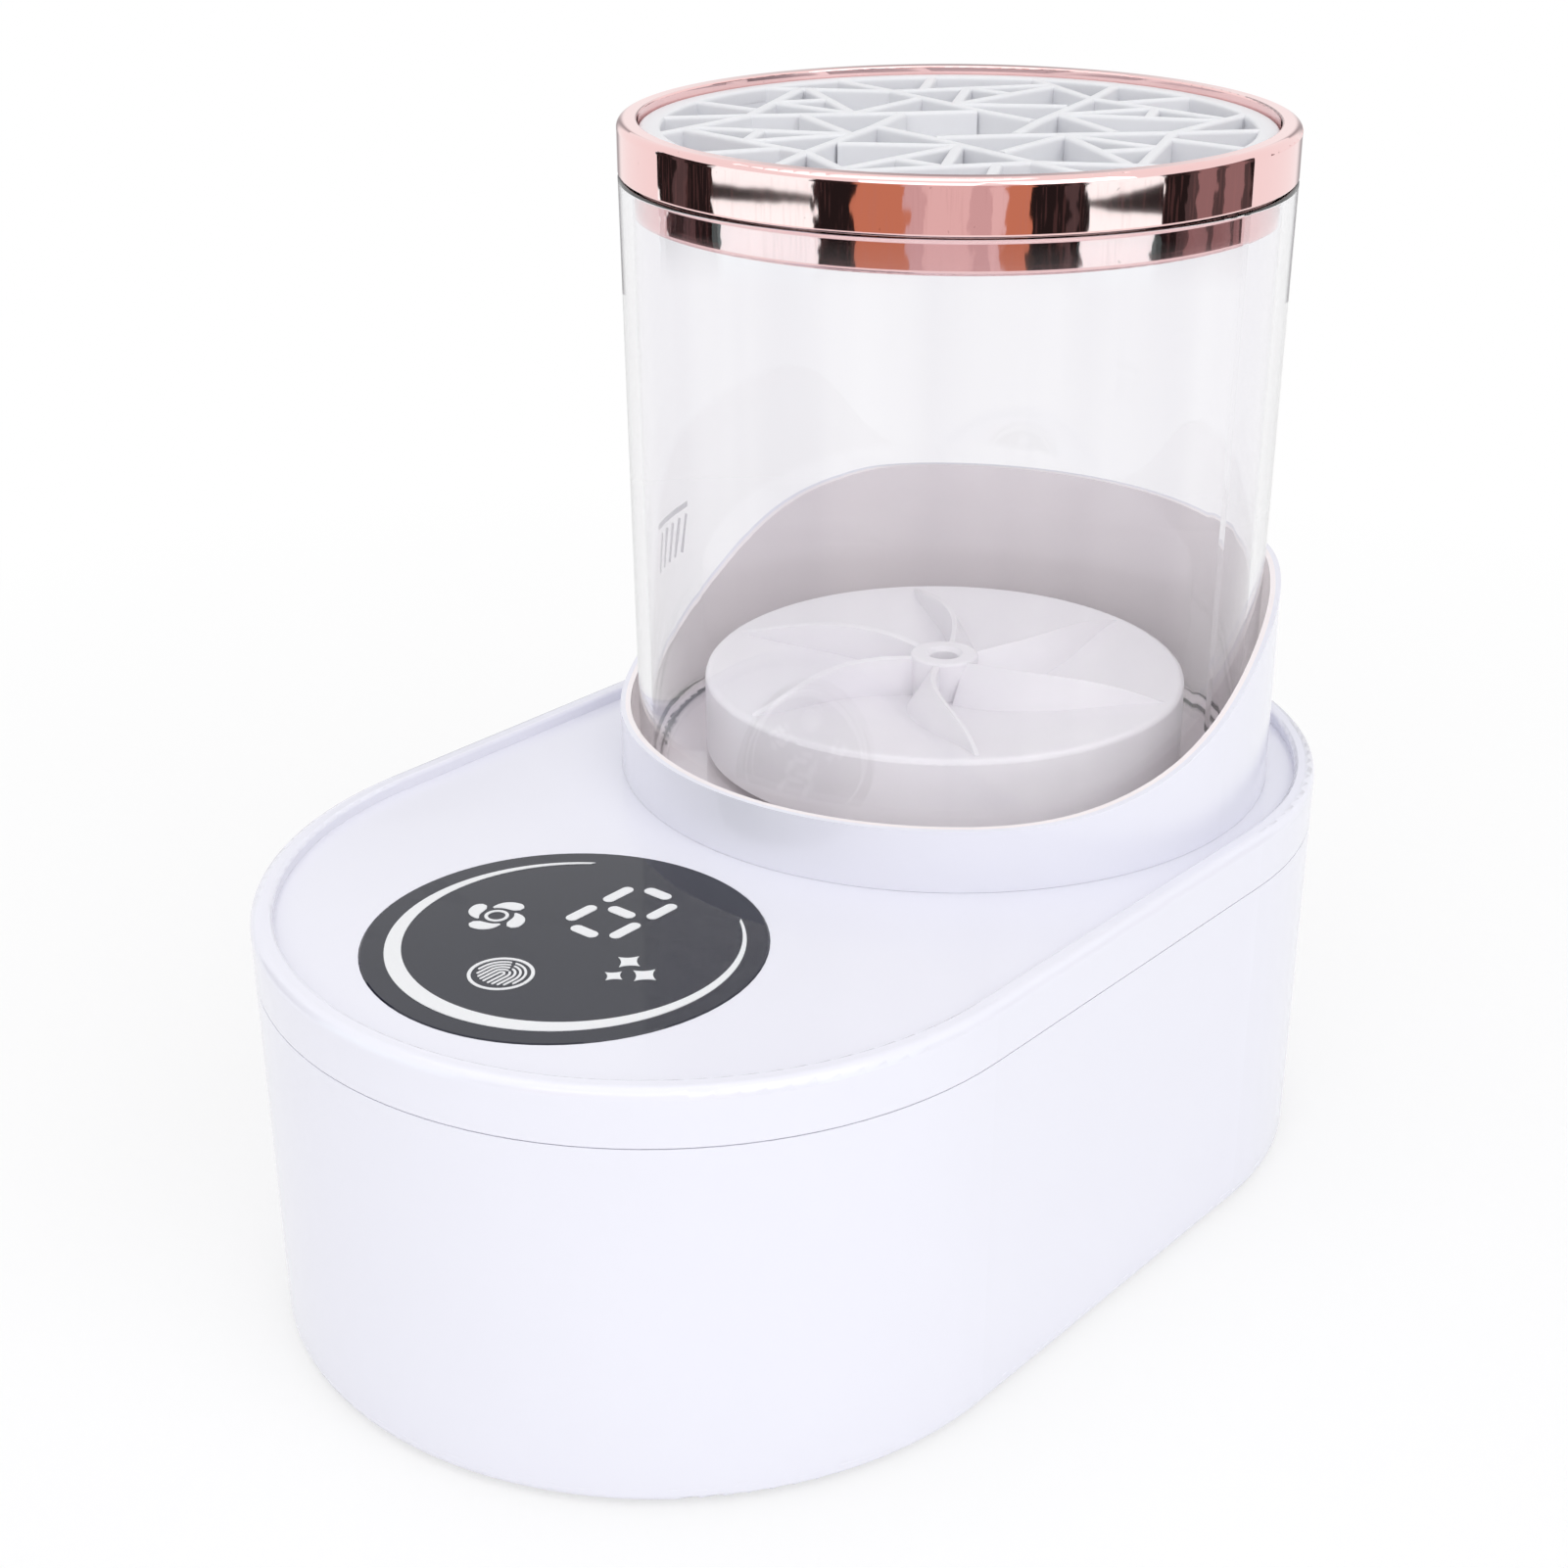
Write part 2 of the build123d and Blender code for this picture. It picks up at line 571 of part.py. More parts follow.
# Fill mark printed on the cup's left side: a level line over slanted strokes
mark_z = 98.0
mark_angle = 200.0
stroke_width = 0.9
stroke_count = 5
mark_turn = radians(mark_angle)
mark_out = (cos(mark_turn), sin(mark_turn), 0)
mark_across = (-sin(mark_turn), cos(mark_turn), 0)
mark_low = cup_radius(mark_z - 15) + 0.02
mark_high = cup_radius(mark_z + 15) + 0.02

with BuildPart() as fill_mark:
    with BuildSketch(axis_plane):
        Polygon((mark_low, mark_z - 15), (mark_low + print_thickness, mark_z - 15),
                (mark_high + print_thickness, mark_z + 15), (mark_high, mark_z + 15), align=None)
    revolve(axis=cup_axis)
    with BuildSketch(Plane(origin=(0, cup_y, mark_z), x_dir=mark_across, z_dir=mark_out)):
        Rectangle(14, stroke_width)
        for stroke in range(stroke_count):
            with Locations((2.8 * stroke - 5.4, -4.6)):
                Rectangle(stroke_width, 6.5, rotation=20)
    extrude(amount=collar_outer, mode=Mode.INTERSECT)
fill_mark.part.label = "fill_mark"
export_step(fill_mark.part, "parts/fill_mark.step")

spindle_top = 75.8

with BuildPart() as cup_spindle:
    posts(drive_axis, spindle_radius, floor_top - 1.2, spindle_top)
    posts(drive_axis, 4.4, floor_top, disc_bottom - 0.08)
    chamfer(cup_spindle.faces().sort_by(Axis.Z)[-1].edges(), 0.4)
cup_spindle.part.label = "cup_spindle"
export_step(cup_spindle.part, "parts/cup_spindle.step")

# --- Spinner disc --------------------------------------------------------------------------------
# Each vane's ridge: radius, angle from the vane's own direction, ridge height, and flank width
vane_phase = 6.5
vane_stations = [(4.6, -8.5, 80.1, 5.2), (12, -6.0, 80.9, 5.6), (18, -2.0, 81.1, 5.0), (24, 3.0, 80.8, 4.2),
                 (30, 7.0, 79.8, 3.0), (36.2, 8.5, 78.3, 1.6)]
dish_radius = disc_radius - 1.2
dish_place = Location((0, cup_y, disc_floor_z))

with BuildPart() as spinner_disc:
    posts(drive_axis, disc_radius, disc_bottom, disc_rim_z)
    fillet(spinner_disc.faces().sort_by(Axis.Z)[-1].edges(), 0.8)
    with Locations(dish_place):
        Cone(hub_radius, dish_radius, disc_rim_z - disc_floor_z, mode=Mode.SUBTRACT,
             align=(Align.CENTER, Align.CENTER, Align.MIN))
    posts(drive_axis, disc_radius - 2.0, disc_bottom, disc_floor_z - 2.5, mode=Mode.SUBTRACT)
    posts(drive_axis, hub_radius, disc_bottom, hub_top)
    posts(magnet_places, 6.3, disc_bottom + 1.4, disc_floor_z - 1)
    for vane in range(vane_count):
        turn = radians(vane_phase + 360 * vane / vane_count)
        along, across = (cos(turn), sin(turn), 0), (-sin(turn), cos(turn), 0)
        for reach, angle, ridge_z, flank in vane_stations:
            ridge_y = reach * tan(radians(angle))
            start = (reach * along[0], cup_y + reach * along[1], 0)
            with BuildSketch(Plane(origin=start, x_dir=across, z_dir=along)):
                Polygon((ridge_y + 0.5, disc_floor_z - 1), (ridge_y, ridge_z - 0.3), (ridge_y - 0.8, ridge_z),
                        (ridge_y - flank, disc_floor_z - 1), align=None)
        loft()
    fillet(ring_edge(spinner_disc, hub_radius, hub_top), 0.5)
    posts(drive_axis, spindle_radius + spin_clearance, disc_bottom - 1, hub_top + 2, mode=Mode.SUBTRACT)
    chamfer(ring_edge(spinner_disc, spindle_radius + spin_clearance, hub_top), 0.7)
    posts(magnet_places, magnet_radius + 0.05, disc_bottom, disc_bottom + 5.7, mode=Mode.SUBTRACT)
spinner_disc.part.label = "spinner_disc"
export_step(spinner_disc.part, "parts/spinner_disc.step")

with BuildPart() as spinner_magnets:
    posts(magnet_places, magnet_radius, disc_bottom + 1.6, disc_bottom + 5.6)
spinner_magnets.part.label = "spinner_magnets"
export_step(spinner_magnets.part, "parts/spinner_magnets.step")

with BuildPart() as magnet_cover:
    with BuildSketch(Plane.XY.offset(disc_bottom + 0.1)):
        with Locations(cup_place):
            Circle(disc_radius - 2.1)
            Circle(hub_radius + 0.1, mode=Mode.SUBTRACT)
    extrude(amount=1.2)
magnet_cover.part.label = "magnet_cover"
export_step(magnet_cover.part, "parts/magnet_cover.step")

# --- Lid: plated ring with a skirt, and the ribbed brush holder ----------------------------------
seat_z = grid_bottom - 0.1
seat_radius = grid_open_radius + 1.2
flange_z = 161.0
pocket_radius = grid_flange_radius + 0.15

with BuildPart() as lid_ring:
    with BuildSketch(axis_plane):
        Polygon((pocket_radius, lid_top), (lid_radius, lid_top), (lid_radius, lid_bottom),
                (skirt_radius, lid_bottom), (skirt_radius, skirt_bottom), (seat_radius, skirt_bottom),
                (seat_radius, seat_z), (46.3, seat_z), (46.3, flange_z - 0.1),
                (pocket_radius, flange_z - 0.1), align=None)
    revolve(axis=cup_axis)
    fillet(ring_edge(lid_ring, lid_radius, lid_top), 1.2)
    fillet(ring_edge(lid_ring, lid_radius, lid_bottom), 0.4)
    fillet(ring_edge(lid_ring, skirt_radius, skirt_bottom), 0.8)
    fillet(ring_edge(lid_ring, pocket_radius, lid_top), 0.3)
lid_ring.part.label = "lid_ring"
export_step(lid_ring.part, "parts/lid_ring.step")

# Rib centre lines of one sixth of the lid, each from one end to the other
corner = (7.9, 10.0)
inner_node = (6.9, 16.4)
outer_node = (2.6, 31.6)
side_node = (28.6, 28.3)
rib_lines = [
    (corner, (11.6, -1.6)),
    (corner, outer_node),
    (outer_node, (-1.4, 44.5)),
    (inner_node, (22.0, 8.6)),
    (inner_node, (28.6, 26.8)),
    (inner_node, (14.8, 30.0)),
    ((15.4, 29.6), (18.8, 22.4)),
    (outer_node, side_node),
    ((28.6, 13.6), (28.6, 35.0)),
    ((7.7, 31.2), (14.6, 43.6)),
]

with BuildPart() as lid_grid:
    with BuildSketch(Plane.XY.offset(grid_bottom)):
        with Locations(cup_place):
            for sixth in range(6):
                for (x1, y1), (x2, y2) in rib_lines:
                    lie = degrees(atan2(y2 - y1, x2 - x1))
                    middle = Location(((x1 + x2) / 2, (y1 + y2) / 2, 0), (0, 0, lie))
                    with Locations(Location((0, 0, 0), (0, 0, 60 * sixth)) * middle):
                        Rectangle(hypot(x2 - x1, y2 - y1) + 0.6 * rib_thickness, rib_thickness)
            Circle(grid_open_radius + 1, mode=Mode.INTERSECT)
    extrude(amount=grid_top - grid_bottom)
    with BuildSketch(axis_plane):
        Polygon((grid_open_radius, grid_bottom), (46.1, grid_bottom), (46.1, flange_z),
                (grid_flange_radius, flange_z), (grid_flange_radius, grid_top), (grid_open_radius, grid_top),
                align=None)
    revolve(axis=cup_axis)
    chamfer(lid_grid.faces().filter_by(Axis.Z).sort_by(Axis.Z)[-1].edges(), 0.3)
lid_grid.part.label = "lid_grid"
export_step(lid_grid.part, "parts/lid_grid.step")
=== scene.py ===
"""Looks of the brush cleaner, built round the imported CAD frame. Lengths are metres.

+Z is up, +Y runs along the base towards the wash cup, and the touch panel is towards -Y.
"""
import json
from math import atan2, cos, hypot, pi, radians, sin, sqrt

import bmesh
import bpy
from mathutils import Euler, Matrix, Quaternion, Vector


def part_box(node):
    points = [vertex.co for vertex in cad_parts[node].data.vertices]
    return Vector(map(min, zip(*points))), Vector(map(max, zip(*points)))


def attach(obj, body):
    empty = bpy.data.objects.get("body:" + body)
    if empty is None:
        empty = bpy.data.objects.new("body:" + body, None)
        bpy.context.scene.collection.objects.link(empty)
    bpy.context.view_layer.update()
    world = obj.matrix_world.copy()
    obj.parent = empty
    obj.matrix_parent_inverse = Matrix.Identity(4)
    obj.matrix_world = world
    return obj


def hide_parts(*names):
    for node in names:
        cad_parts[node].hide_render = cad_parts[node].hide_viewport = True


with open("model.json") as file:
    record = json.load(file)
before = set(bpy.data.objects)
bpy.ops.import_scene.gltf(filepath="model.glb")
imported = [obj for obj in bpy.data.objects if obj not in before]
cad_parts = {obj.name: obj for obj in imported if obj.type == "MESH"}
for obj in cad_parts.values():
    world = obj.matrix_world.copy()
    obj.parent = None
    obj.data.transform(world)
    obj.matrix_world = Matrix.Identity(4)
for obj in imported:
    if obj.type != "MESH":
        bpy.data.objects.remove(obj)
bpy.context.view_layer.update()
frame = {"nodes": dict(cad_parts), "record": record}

mm = 0.001
bpy.context.scene.view_settings.view_transform = "Standard"

# --- Places taken from the frame -----------------------------------------------------------------
grid_low, grid_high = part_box("lid_grid")
cup_low, cup_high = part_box("wash_cup")
window_low, window_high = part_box("panel_window")
marks_low, marks_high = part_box("panel_marks")
feet_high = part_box("feet")[1]
parts_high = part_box("board_parts")[1]

cup_y = (cup_low.y + cup_high.y) / 2
panel_y = (window_low.y + window_high.y) / 2
cup_axis = Vector((0, cup_y, 0))
collar_middle = 51.2 * mm
under_deck = 60 * mm
flange_step = 161.0 * mm
holder_wall = 46.1 * mm
holder_opening = 43.5 * mm
foot_radius = 6.8 * mm


# --- Camera --------------------------------------------------------------------------------------
def make_camera():
    """Camera above the panel end, to the right of the object, looking down at it."""
    heading, dip, roll = 0.700, 0.4205, -0.0036
    lens = bpy.data.cameras.new("camera")
    lens.lens = 58.3
    lens.sensor_width = 36
    lens.clip_start = 0.01
    lens.clip_end = 50
    camera = bpy.data.objects.new("camera", lens)
    camera.location = (0.22507, -0.27442, 0.22704)
    camera.rotation_mode = "QUATERNION"
    level = Euler((pi / 2 - dip, 0, heading)).to_quaternion()
    camera.rotation_quaternion = level @ Quaternion((0, 0, 1), roll)
    bpy.context.scene.collection.objects.link(camera)
    bpy.context.scene.camera = camera
    return camera


camera = make_camera()
camera_turn = atan2(camera.location.y - cup_y, camera.location.x)
dark_gap = (0.018, 0.0143, 0.0143)


# --- Node trees ----------------------------------------------------------------------------------
def fill_ramp(ramp, stops):
    """Set a ramp's stops, each a place and a colour."""
    while len(ramp.elements) > 1:
        ramp.elements.remove(ramp.elements[-1])
    ramp.elements[0].position = stops[0][0]
    ramp.elements[0].color = (*stops[0][1], 1)
    for place, colour in stops[1:]:
        ramp.elements.new(place).color = (*colour, 1)


class Wire:
    """One socket of a node tree. Sums of wires and numbers add Math nodes to the tree."""

    def __init__(self, tree, socket=None):
        self.tree = tree
        self.socket = socket

    def node(self, kind, inputs=None, settings=None, output=0):
        """Add a node: its settings first, then the values or links of its sockets."""
        made = self.tree.nodes.new(kind)
        for name, value in (settings or {}).items():
            if name == "stops":
                fill_ramp(made.color_ramp, value)
            elif name == "blend":
                made.color_ramp.interpolation = value
            else:
                setattr(made, name, value)
        for key, value in (inputs or {}).items():
            if isinstance(value, Wire):
                self.tree.links.new(value.socket, made.inputs[key])
            else:
                made.inputs[key].default_value = value
        return Wire(self.tree, made.outputs[output] if made.outputs else None)

    def maths(self, operation, first, second=0.0, clamp=False):
        """Math node on two wires or numbers."""
        settings = {"operation": operation, "use_clamp": clamp}
        return self.node("ShaderNodeMath", {0: first, 1: second}, settings)

    def __add__(self, other):
        return self.maths("ADD", self, other)

    def __radd__(self, other):
        return self.maths("ADD", other, self)

    def __sub__(self, other):
        return self.maths("SUBTRACT", self, other)

    def __rsub__(self, other):
        return self.maths("SUBTRACT", other, self)

    def __mul__(self, other):
        return self.maths("MULTIPLY", self, other)

    def __rmul__(self, other):
        return self.maths("MULTIPLY", other, self)

    def __truediv__(self, other):
        return self.maths("DIVIDE", self, other)

    def __gt__(self, other):
        return self.maths("GREATER_THAN", self, other)

    def __lt__(self, other):
        return self.maths("LESS_THAN", self, other)

    def __abs__(self):
        return self.maths("ABSOLUTE", self)

    def root(self):
        """Square root of this wire."""
        return self.maths("SQRT", self)

    def sine(self):
        """Sine of this wire, in radians."""
        return self.maths("SINE", self)

    def fraction(self):
        """What is left of this wire past the whole number below it."""
        return self.maths("FRACT", self)

    def clipped(self):
        """This wire held between 0 and 1."""
        return self.maths("ADD", self, 0.0, clamp=True)


def new_finish(name):
    """Empty material and a wire to build its tree with."""
    made = bpy.data.materials.new(name)
    made.use_nodes = True
    made.node_tree.nodes.clear()
    return made, Wire(made.node_tree)


def place_of(start, moved=(0, 0, 0), turned=(0, 0, 0), stretched=(1, 1, 1)):
    """Object coordinates in metres, moved, turned and stretched."""
    coords = start.node("ShaderNodeTexCoord", output="Object")
    inputs = {"Vector": coords, "Location": moved, "Rotation": turned, "Scale": stretched}
    return start.node("ShaderNodeMapping", inputs)


def axes_of(start, coords):
    """X, Y and Z of a vector, as three wires."""
    split = start.node("ShaderNodeSeparateXYZ", {0: coords})
    sockets = split.socket.node.outputs
    return [Wire(start.tree, socket) for socket in sockets]


def ray_says(start, name):
    """What kind of ray is being shaded: one output of Light Path, such as Is Camera Ray."""
    return start.node("ShaderNodeLightPath", output=name)


def noise(start, coords, grain, detail=2.0):
    """Noise whose features are about grain metres across, from 0 to 1."""
    inputs = {"Vector": coords, "Scale": 1 / grain, "Detail": detail}
    return start.node("ShaderNodeTexNoise", inputs)


def between(start, factor, low, high):
    """Mix of two colours or colour wires by a factor."""
    inputs = {0: factor, 6: low if isinstance(low, Wire) else (*low, 1),
              7: high if isinstance(high, Wire) else (*high, 1)}
    return start.node("ShaderNodeMix", inputs, {"data_type": "RGBA"}, output=2)


def raised(start, height, depth, strength=1.0, below=None):
    """Normal of a surface raised by height times depth metres."""
    inputs = {"Height": height, "Distance": depth, "Strength": strength}
    if below:
        inputs["Normal"] = below
    return start.node("ShaderNodeBump", inputs)


def close_finish(made, start, inputs):
    """Join a surface shader with these sockets to the material's output."""
    shader = start.node("ShaderNodeBsdfPrincipled", inputs)
    start.node("ShaderNodeOutputMaterial", {"Surface": shader})
    return made


# --- Finishes ------------------------------------------------------------------------------------
def shell_white():
    """Glossy moulded white with a cool cast, finely rippled, scuffed just above the table.

    The collar's inside, under the plated lid, is painted a lighter, rose-tinted white: painted light
    standing in for the rose light the plated lid throws into it.
    """
    made, start = new_finish("shell_white")
    coords = place_of(start)
    x, y, height = axes_of(start, coords)
    across = y - cup_y
    from_cup = (x * x + across * across).root()
    # Inside the collar the white is painted lighter and rose-tinted: painted light from the plated lid
    # above.
    painted_light_in_collar = (from_cup < collar_middle) * (height > under_deck)
    clouds = noise(start, coords, 40 * mm)
    ripple = noise(start, coords, 1.6 * mm)
    scuffs = noise(start, place_of(start, stretched=(1, 1, 6)), 3 * mm, 6) > 0.6
    near_table = ((4 * mm - height) / (4 * mm)).clipped()
    worn = near_table * scuffs
    cool = between(start, clouds, (0.815, 0.815, 0.895), (0.845, 0.845, 0.925))
    # warm: the painted light of the collar's inside, a lighter rose-tinted copy of the same white.
    warm = between(start, clouds, (0.93, 0.865, 0.885), (0.95, 0.895, 0.905))
    colour = between(start, painted_light_in_collar, cool, warm)
    return close_finish(made, start, {
        "Base Color": between(start, worn * 0.5, colour, (0.70, 0.70, 0.74)),
        "Roughness": 0.14 + 0.10 * noise(start, coords, 12 * mm, 4) + 0.3 * worn,
        "Normal": raised(start, ripple, 0.01 * mm, 0.25),
        "IOR": 1.5, "Coat Weight": 0.25, "Coat Roughness": 0.05,
    })


def plate_white():
    """Textured white of the underside, with the fine spark-eroded grain of its mould."""
    made, start = new_finish("plate_white")
    coords = place_of(start)
    grain = noise(start, coords, 0.35 * mm, 3)
    dust = noise(start, coords, 9 * mm, 5)
    return close_finish(made, start, {
        "Base Color": between(start, dust, (0.72, 0.72, 0.77), (0.82, 0.82, 0.87)),
        "Roughness": 0.5 + 0.2 * grain,
        "Normal": raised(start, grain, 0.05 * mm, 0.6),
    })


def foot_rubber():
    """Grey rubber, speckled and slightly dusty."""
    made, start = new_finish("foot_rubber")
    coords = place_of(start)
    speckle = noise(start, coords, 0.5 * mm, 4)
    return close_finish(made, start, {
        "Base Color": between(start, speckle, (0.20, 0.20, 0.21), (0.34, 0.34, 0.35)),
        "Roughness": 0.7 + 0.2 * speckle,
        "Normal": raised(start, speckle, 0.04 * mm, 0.6),
    })


def turned_steel(name="turned_steel", colour=(0.62, 0.62, 0.64)):
    """Plain steel with fine drawn lines and a little tarnish."""
    made, start = new_finish(name)
    lines = noise(start, place_of(start, stretched=(1, 1, 14)), 1.5 * mm, 5)
    tarnish = noise(start, place_of(start), 5 * mm, 3)
    dull = tuple(0.72 * value for value in colour)
    return close_finish(made, start, {
        "Base Color": between(start, tarnish, colour, dull),
        "Metallic": 1.0,
        "Roughness": 0.22 + 0.2 * lines,
        "Normal": raised(start, lines, 0.02 * mm, 0.3),
    })


def smoked_window():
    """Dark smoked sheet with a hard gloss, lightly touched by fingers."""
    made, start = new_finish("smoked_window")
    coords = place_of(start)
    smear = noise(start, place_of(start, turned=(0, 0, 0.6), stretched=(1, 2.5, 1)), 14 * mm, 5)
    clouds = noise(start, coords, 25 * mm)
    return close_finish(made, start, {
        "Base Color": between(start, clouds, (0.016, 0.018, 0.030), (0.024, 0.026, 0.040)),
        "Roughness": 0.05 + 0.09 * (smear > 0.58),
        "Normal": raised(start, noise(start, coords, 4 * mm), 0.003 * mm, 0.3),
        "IOR": 1.42,
    })


def print_ink(name, low, high, cover=1.0):
    """Screen-printed ink, faintly uneven, hiding this much of what lies behind it."""
    made, start = new_finish(name)
    mesh_marks = noise(start, place_of(start), 0.25 * mm, 2)
    return close_finish(made, start, {
        "Base Color": between(start, mesh_marks, low, high),
        "Roughness": 0.35 + 0.15 * mesh_marks,
        "Normal": raised(start, mesh_marks, 0.01 * mm, 0.4),
        "Alpha": cover,
    })


def board_green():
    """Green solder mask with lighter copper tracks under it."""
    made, start = new_finish("board_green")
    coords = place_of(start)
    tracks = start.node("ShaderNodeTexBrick", {
        "Vector": coords, "Scale": 1 / (7 * mm), "Mortar Size": 0.035, "Mortar Smooth": 0.1,
        "Color1": (0, 0, 0, 1), "Color2": (0, 0, 0, 1), "Mortar": (1, 1, 1, 1)})
    mask = noise(start, coords, 3 * mm, 3)
    green = between(start, mask, (0.012, 0.12, 0.05), (0.02, 0.17, 0.075))
    return close_finish(made, start, {
        "Base Color": between(start, tracks, green, (0.06, 0.33, 0.16)),
        "Roughness": 0.3 + 0.1 * mask,
        "Normal": raised(start, tracks, 0.04 * mm, 0.5),
    })


def lamp_resin():
    """Milky lamp resin in a white case."""
    made, start = new_finish("lamp_resin")
    cloud = noise(start, place_of(start), 1.2 * mm, 2)
    return close_finish(made, start, {
        "Base Color": between(start, cloud, (0.80, 0.79, 0.70), (0.88, 0.87, 0.80)),
        "Roughness": 0.25 + 0.15 * cloud,
        "Normal": raised(start, cloud, 0.01 * mm, 0.3),
    })


def dark_moulding(name, low, high, rough=0.5):
    """Dark moulded plastic or conductive rubber with a fine grain."""
    made, start = new_finish(name)
    grain = noise(start, place_of(start), 0.6 * mm, 4)
    return close_finish(made, start, {
        "Base Color": between(start, grain, low, high),
        "Roughness": rough + 0.2 * grain,
        "Normal": raised(start, grain, 0.03 * mm, 0.5),
    })


def board_part_cases():
    """Black cases, with the bare aluminium tops of the two tall capacitors."""
    made, start = new_finish("board_part_cases")
    coords = place_of(start)
    height = axes_of(start, coords)[2]
    grain = noise(start, coords, 0.5 * mm, 3)
    top = height > parts_high.z - 0.35 * mm
    black = between(start, grain, (0.02, 0.02, 0.024), (0.035, 0.035, 0.04))
    return close_finish(made, start, {
        "Base Color": between(start, top, black, (0.68, 0.69, 0.70)),
        "Metallic": top,
        "Roughness": 0.34 + 0.2 * grain,
        "Normal": raised(start, grain, 0.02 * mm, 0.4),
    })


def carrier_nylon():
    """Natural grey nylon with faint flow marks."""
    made, start = new_finish("carrier_nylon")
    flow = noise(start, place_of(start, moved=(0, -cup_y, 0)), 6 * mm, 4)
    return close_finish(made, start, {
        "Base Color": between(start, flow, (0.42, 0.42, 0.44), (0.56, 0.56, 0.57)),
        "Roughness": 0.45 + 0.15 * flow,
        "Normal": raised(start, flow, 0.02 * mm, 0.4),
    })


def clear_wall():
    """Clear moulded wall with a cool cast, faint upright draw lines and soft upright streaks of painted
    reflection in its tint.
    """
    made, start = new_finish("clear_wall")
    draw = noise(start, place_of(start, moved=(0, -cup_y, 0), stretched=(1, 1, 0.04)), 5 * mm, 2)
    # Painted reflection: soft upright streaks that make the tint lighter in bands, where reflections streak
    # the wall.
    reflection_streaks = noise(start, place_of(start, moved=(0, -cup_y, 0), stretched=(1, 1, 0.03)), 16 * mm, 3)
    painted_reflection_tint = between(start, ((reflection_streaks - 0.35) / 0.3).clipped(), (0.915, 0.908, 0.930), (0.965, 0.960, 0.975))
    wall = start.node("ShaderNodeBsdfPrincipled", {
        "Base Color": painted_reflection_tint,
        "Roughness": 0.0,
        "Normal": raised(start, draw, 0.02 * mm, 0.35),
        "IOR": 1.46, "Transmission Weight": 1.0,
    })
    lit_through = start.node("ShaderNodeBsdfTransparent", {"Color": (1, 1, 1, 1)})
    lighting_ray = ray_says(start, "Is Shadow Ray") + ray_says(start, "Is Diffuse Ray")
    mixed = start.node("ShaderNodeMixShader", {0: lighting_ray.clipped(), 1: wall, 2: lit_through})
    start.node("ShaderNodeOutputMaterial", {"Surface": mixed})
    return made


def disc_satin():
    """Milky satin white of the spinner, with soft flow marks from its centre gate."""
    made, start = new_finish("disc_satin")
    coords = place_of(start, moved=(0, -cup_y, 0))
    x, y, z = axes_of(start, coords)
    reach = (x * x + y * y).root()
    flow = noise(start, place_of(start, moved=(0, -cup_y, 0), stretched=(1, 1, 3)), 7 * mm, 4)
    bands = (reach * 900 + 3 * flow).sine()
    colour = between(start, flow, (0.845, 0.825, 0.865), (0.89, 0.87, 0.905))
    return close_finish(made, start, {
        "Base Color": colour,
        "Roughness": 0.30 + 0.08 * flow + 0.03 * bands,
        "Normal": raised(start, flow, 0.02 * mm, 0.35),
        "Subsurface Weight": 0.15, "Subsurface Scale": 0.003, "Subsurface Radius": (1.0, 0.9, 1.0),
    })


def rose_plating():
    """Bright rose-gold plating over a moulding that is not quite flat."""
    made, start = new_finish("rose_plating")
    coords = place_of(start, moved=(0, -cup_y, 0))
    wave = noise(start, coords, 9 * mm, 1)
    specks = noise(start, coords, 0.7 * mm, 2) > 0.74
    colour = between(start, noise(start, coords, 20 * mm), (0.900, 0.600, 0.590), (0.925, 0.635, 0.625))
    return close_finish(made, start, {
        "Base Color": between(start, specks * 0.35, colour, (0.60, 0.36, 0.34)),
        "Metallic": 1.0,
        "Roughness": 0.03 + 0.05 * specks,
        "Normal": raised(start, wave, 0.02 * mm, 0.4),
    })


def holder_white():
    """Soft white of the brush holder, with a painted highlight: lighter along its upper edges, where light
    falls on the tops.
    """
    made, start = new_finish("holder_white")
    coords = place_of(start)
    height = axes_of(start, coords)[2]
    # Painted highlight: the top 0.8 mm of the ribs and rings is painted lighter, where light falls on them.
    edge = ((height - grid_high.z + 0.8 * mm) / (0.8 * mm)).clipped()
    grain = noise(start, coords, 0.8 * mm, 4)
    colour = between(start, noise(start, coords, 15 * mm), (0.71, 0.715, 0.745), (0.76, 0.765, 0.795))
    return close_finish(made, start, {
        "Base Color": between(start, edge * 0.35, colour, (0.90, 0.90, 0.92)),
        "Roughness": 0.42 + 0.15 * grain,
        "Normal": raised(start, grain, 0.02 * mm, 0.35),
    })


steel = turned_steel()
white_shell = shell_white()
disc_white = disc_satin()
holder_finish = holder_white()
rubber = foot_rubber()
plating = rose_plating()
white_ink = print_ink("white_ink", (0.80, 0.81, 0.83), (0.88, 0.89, 0.91))

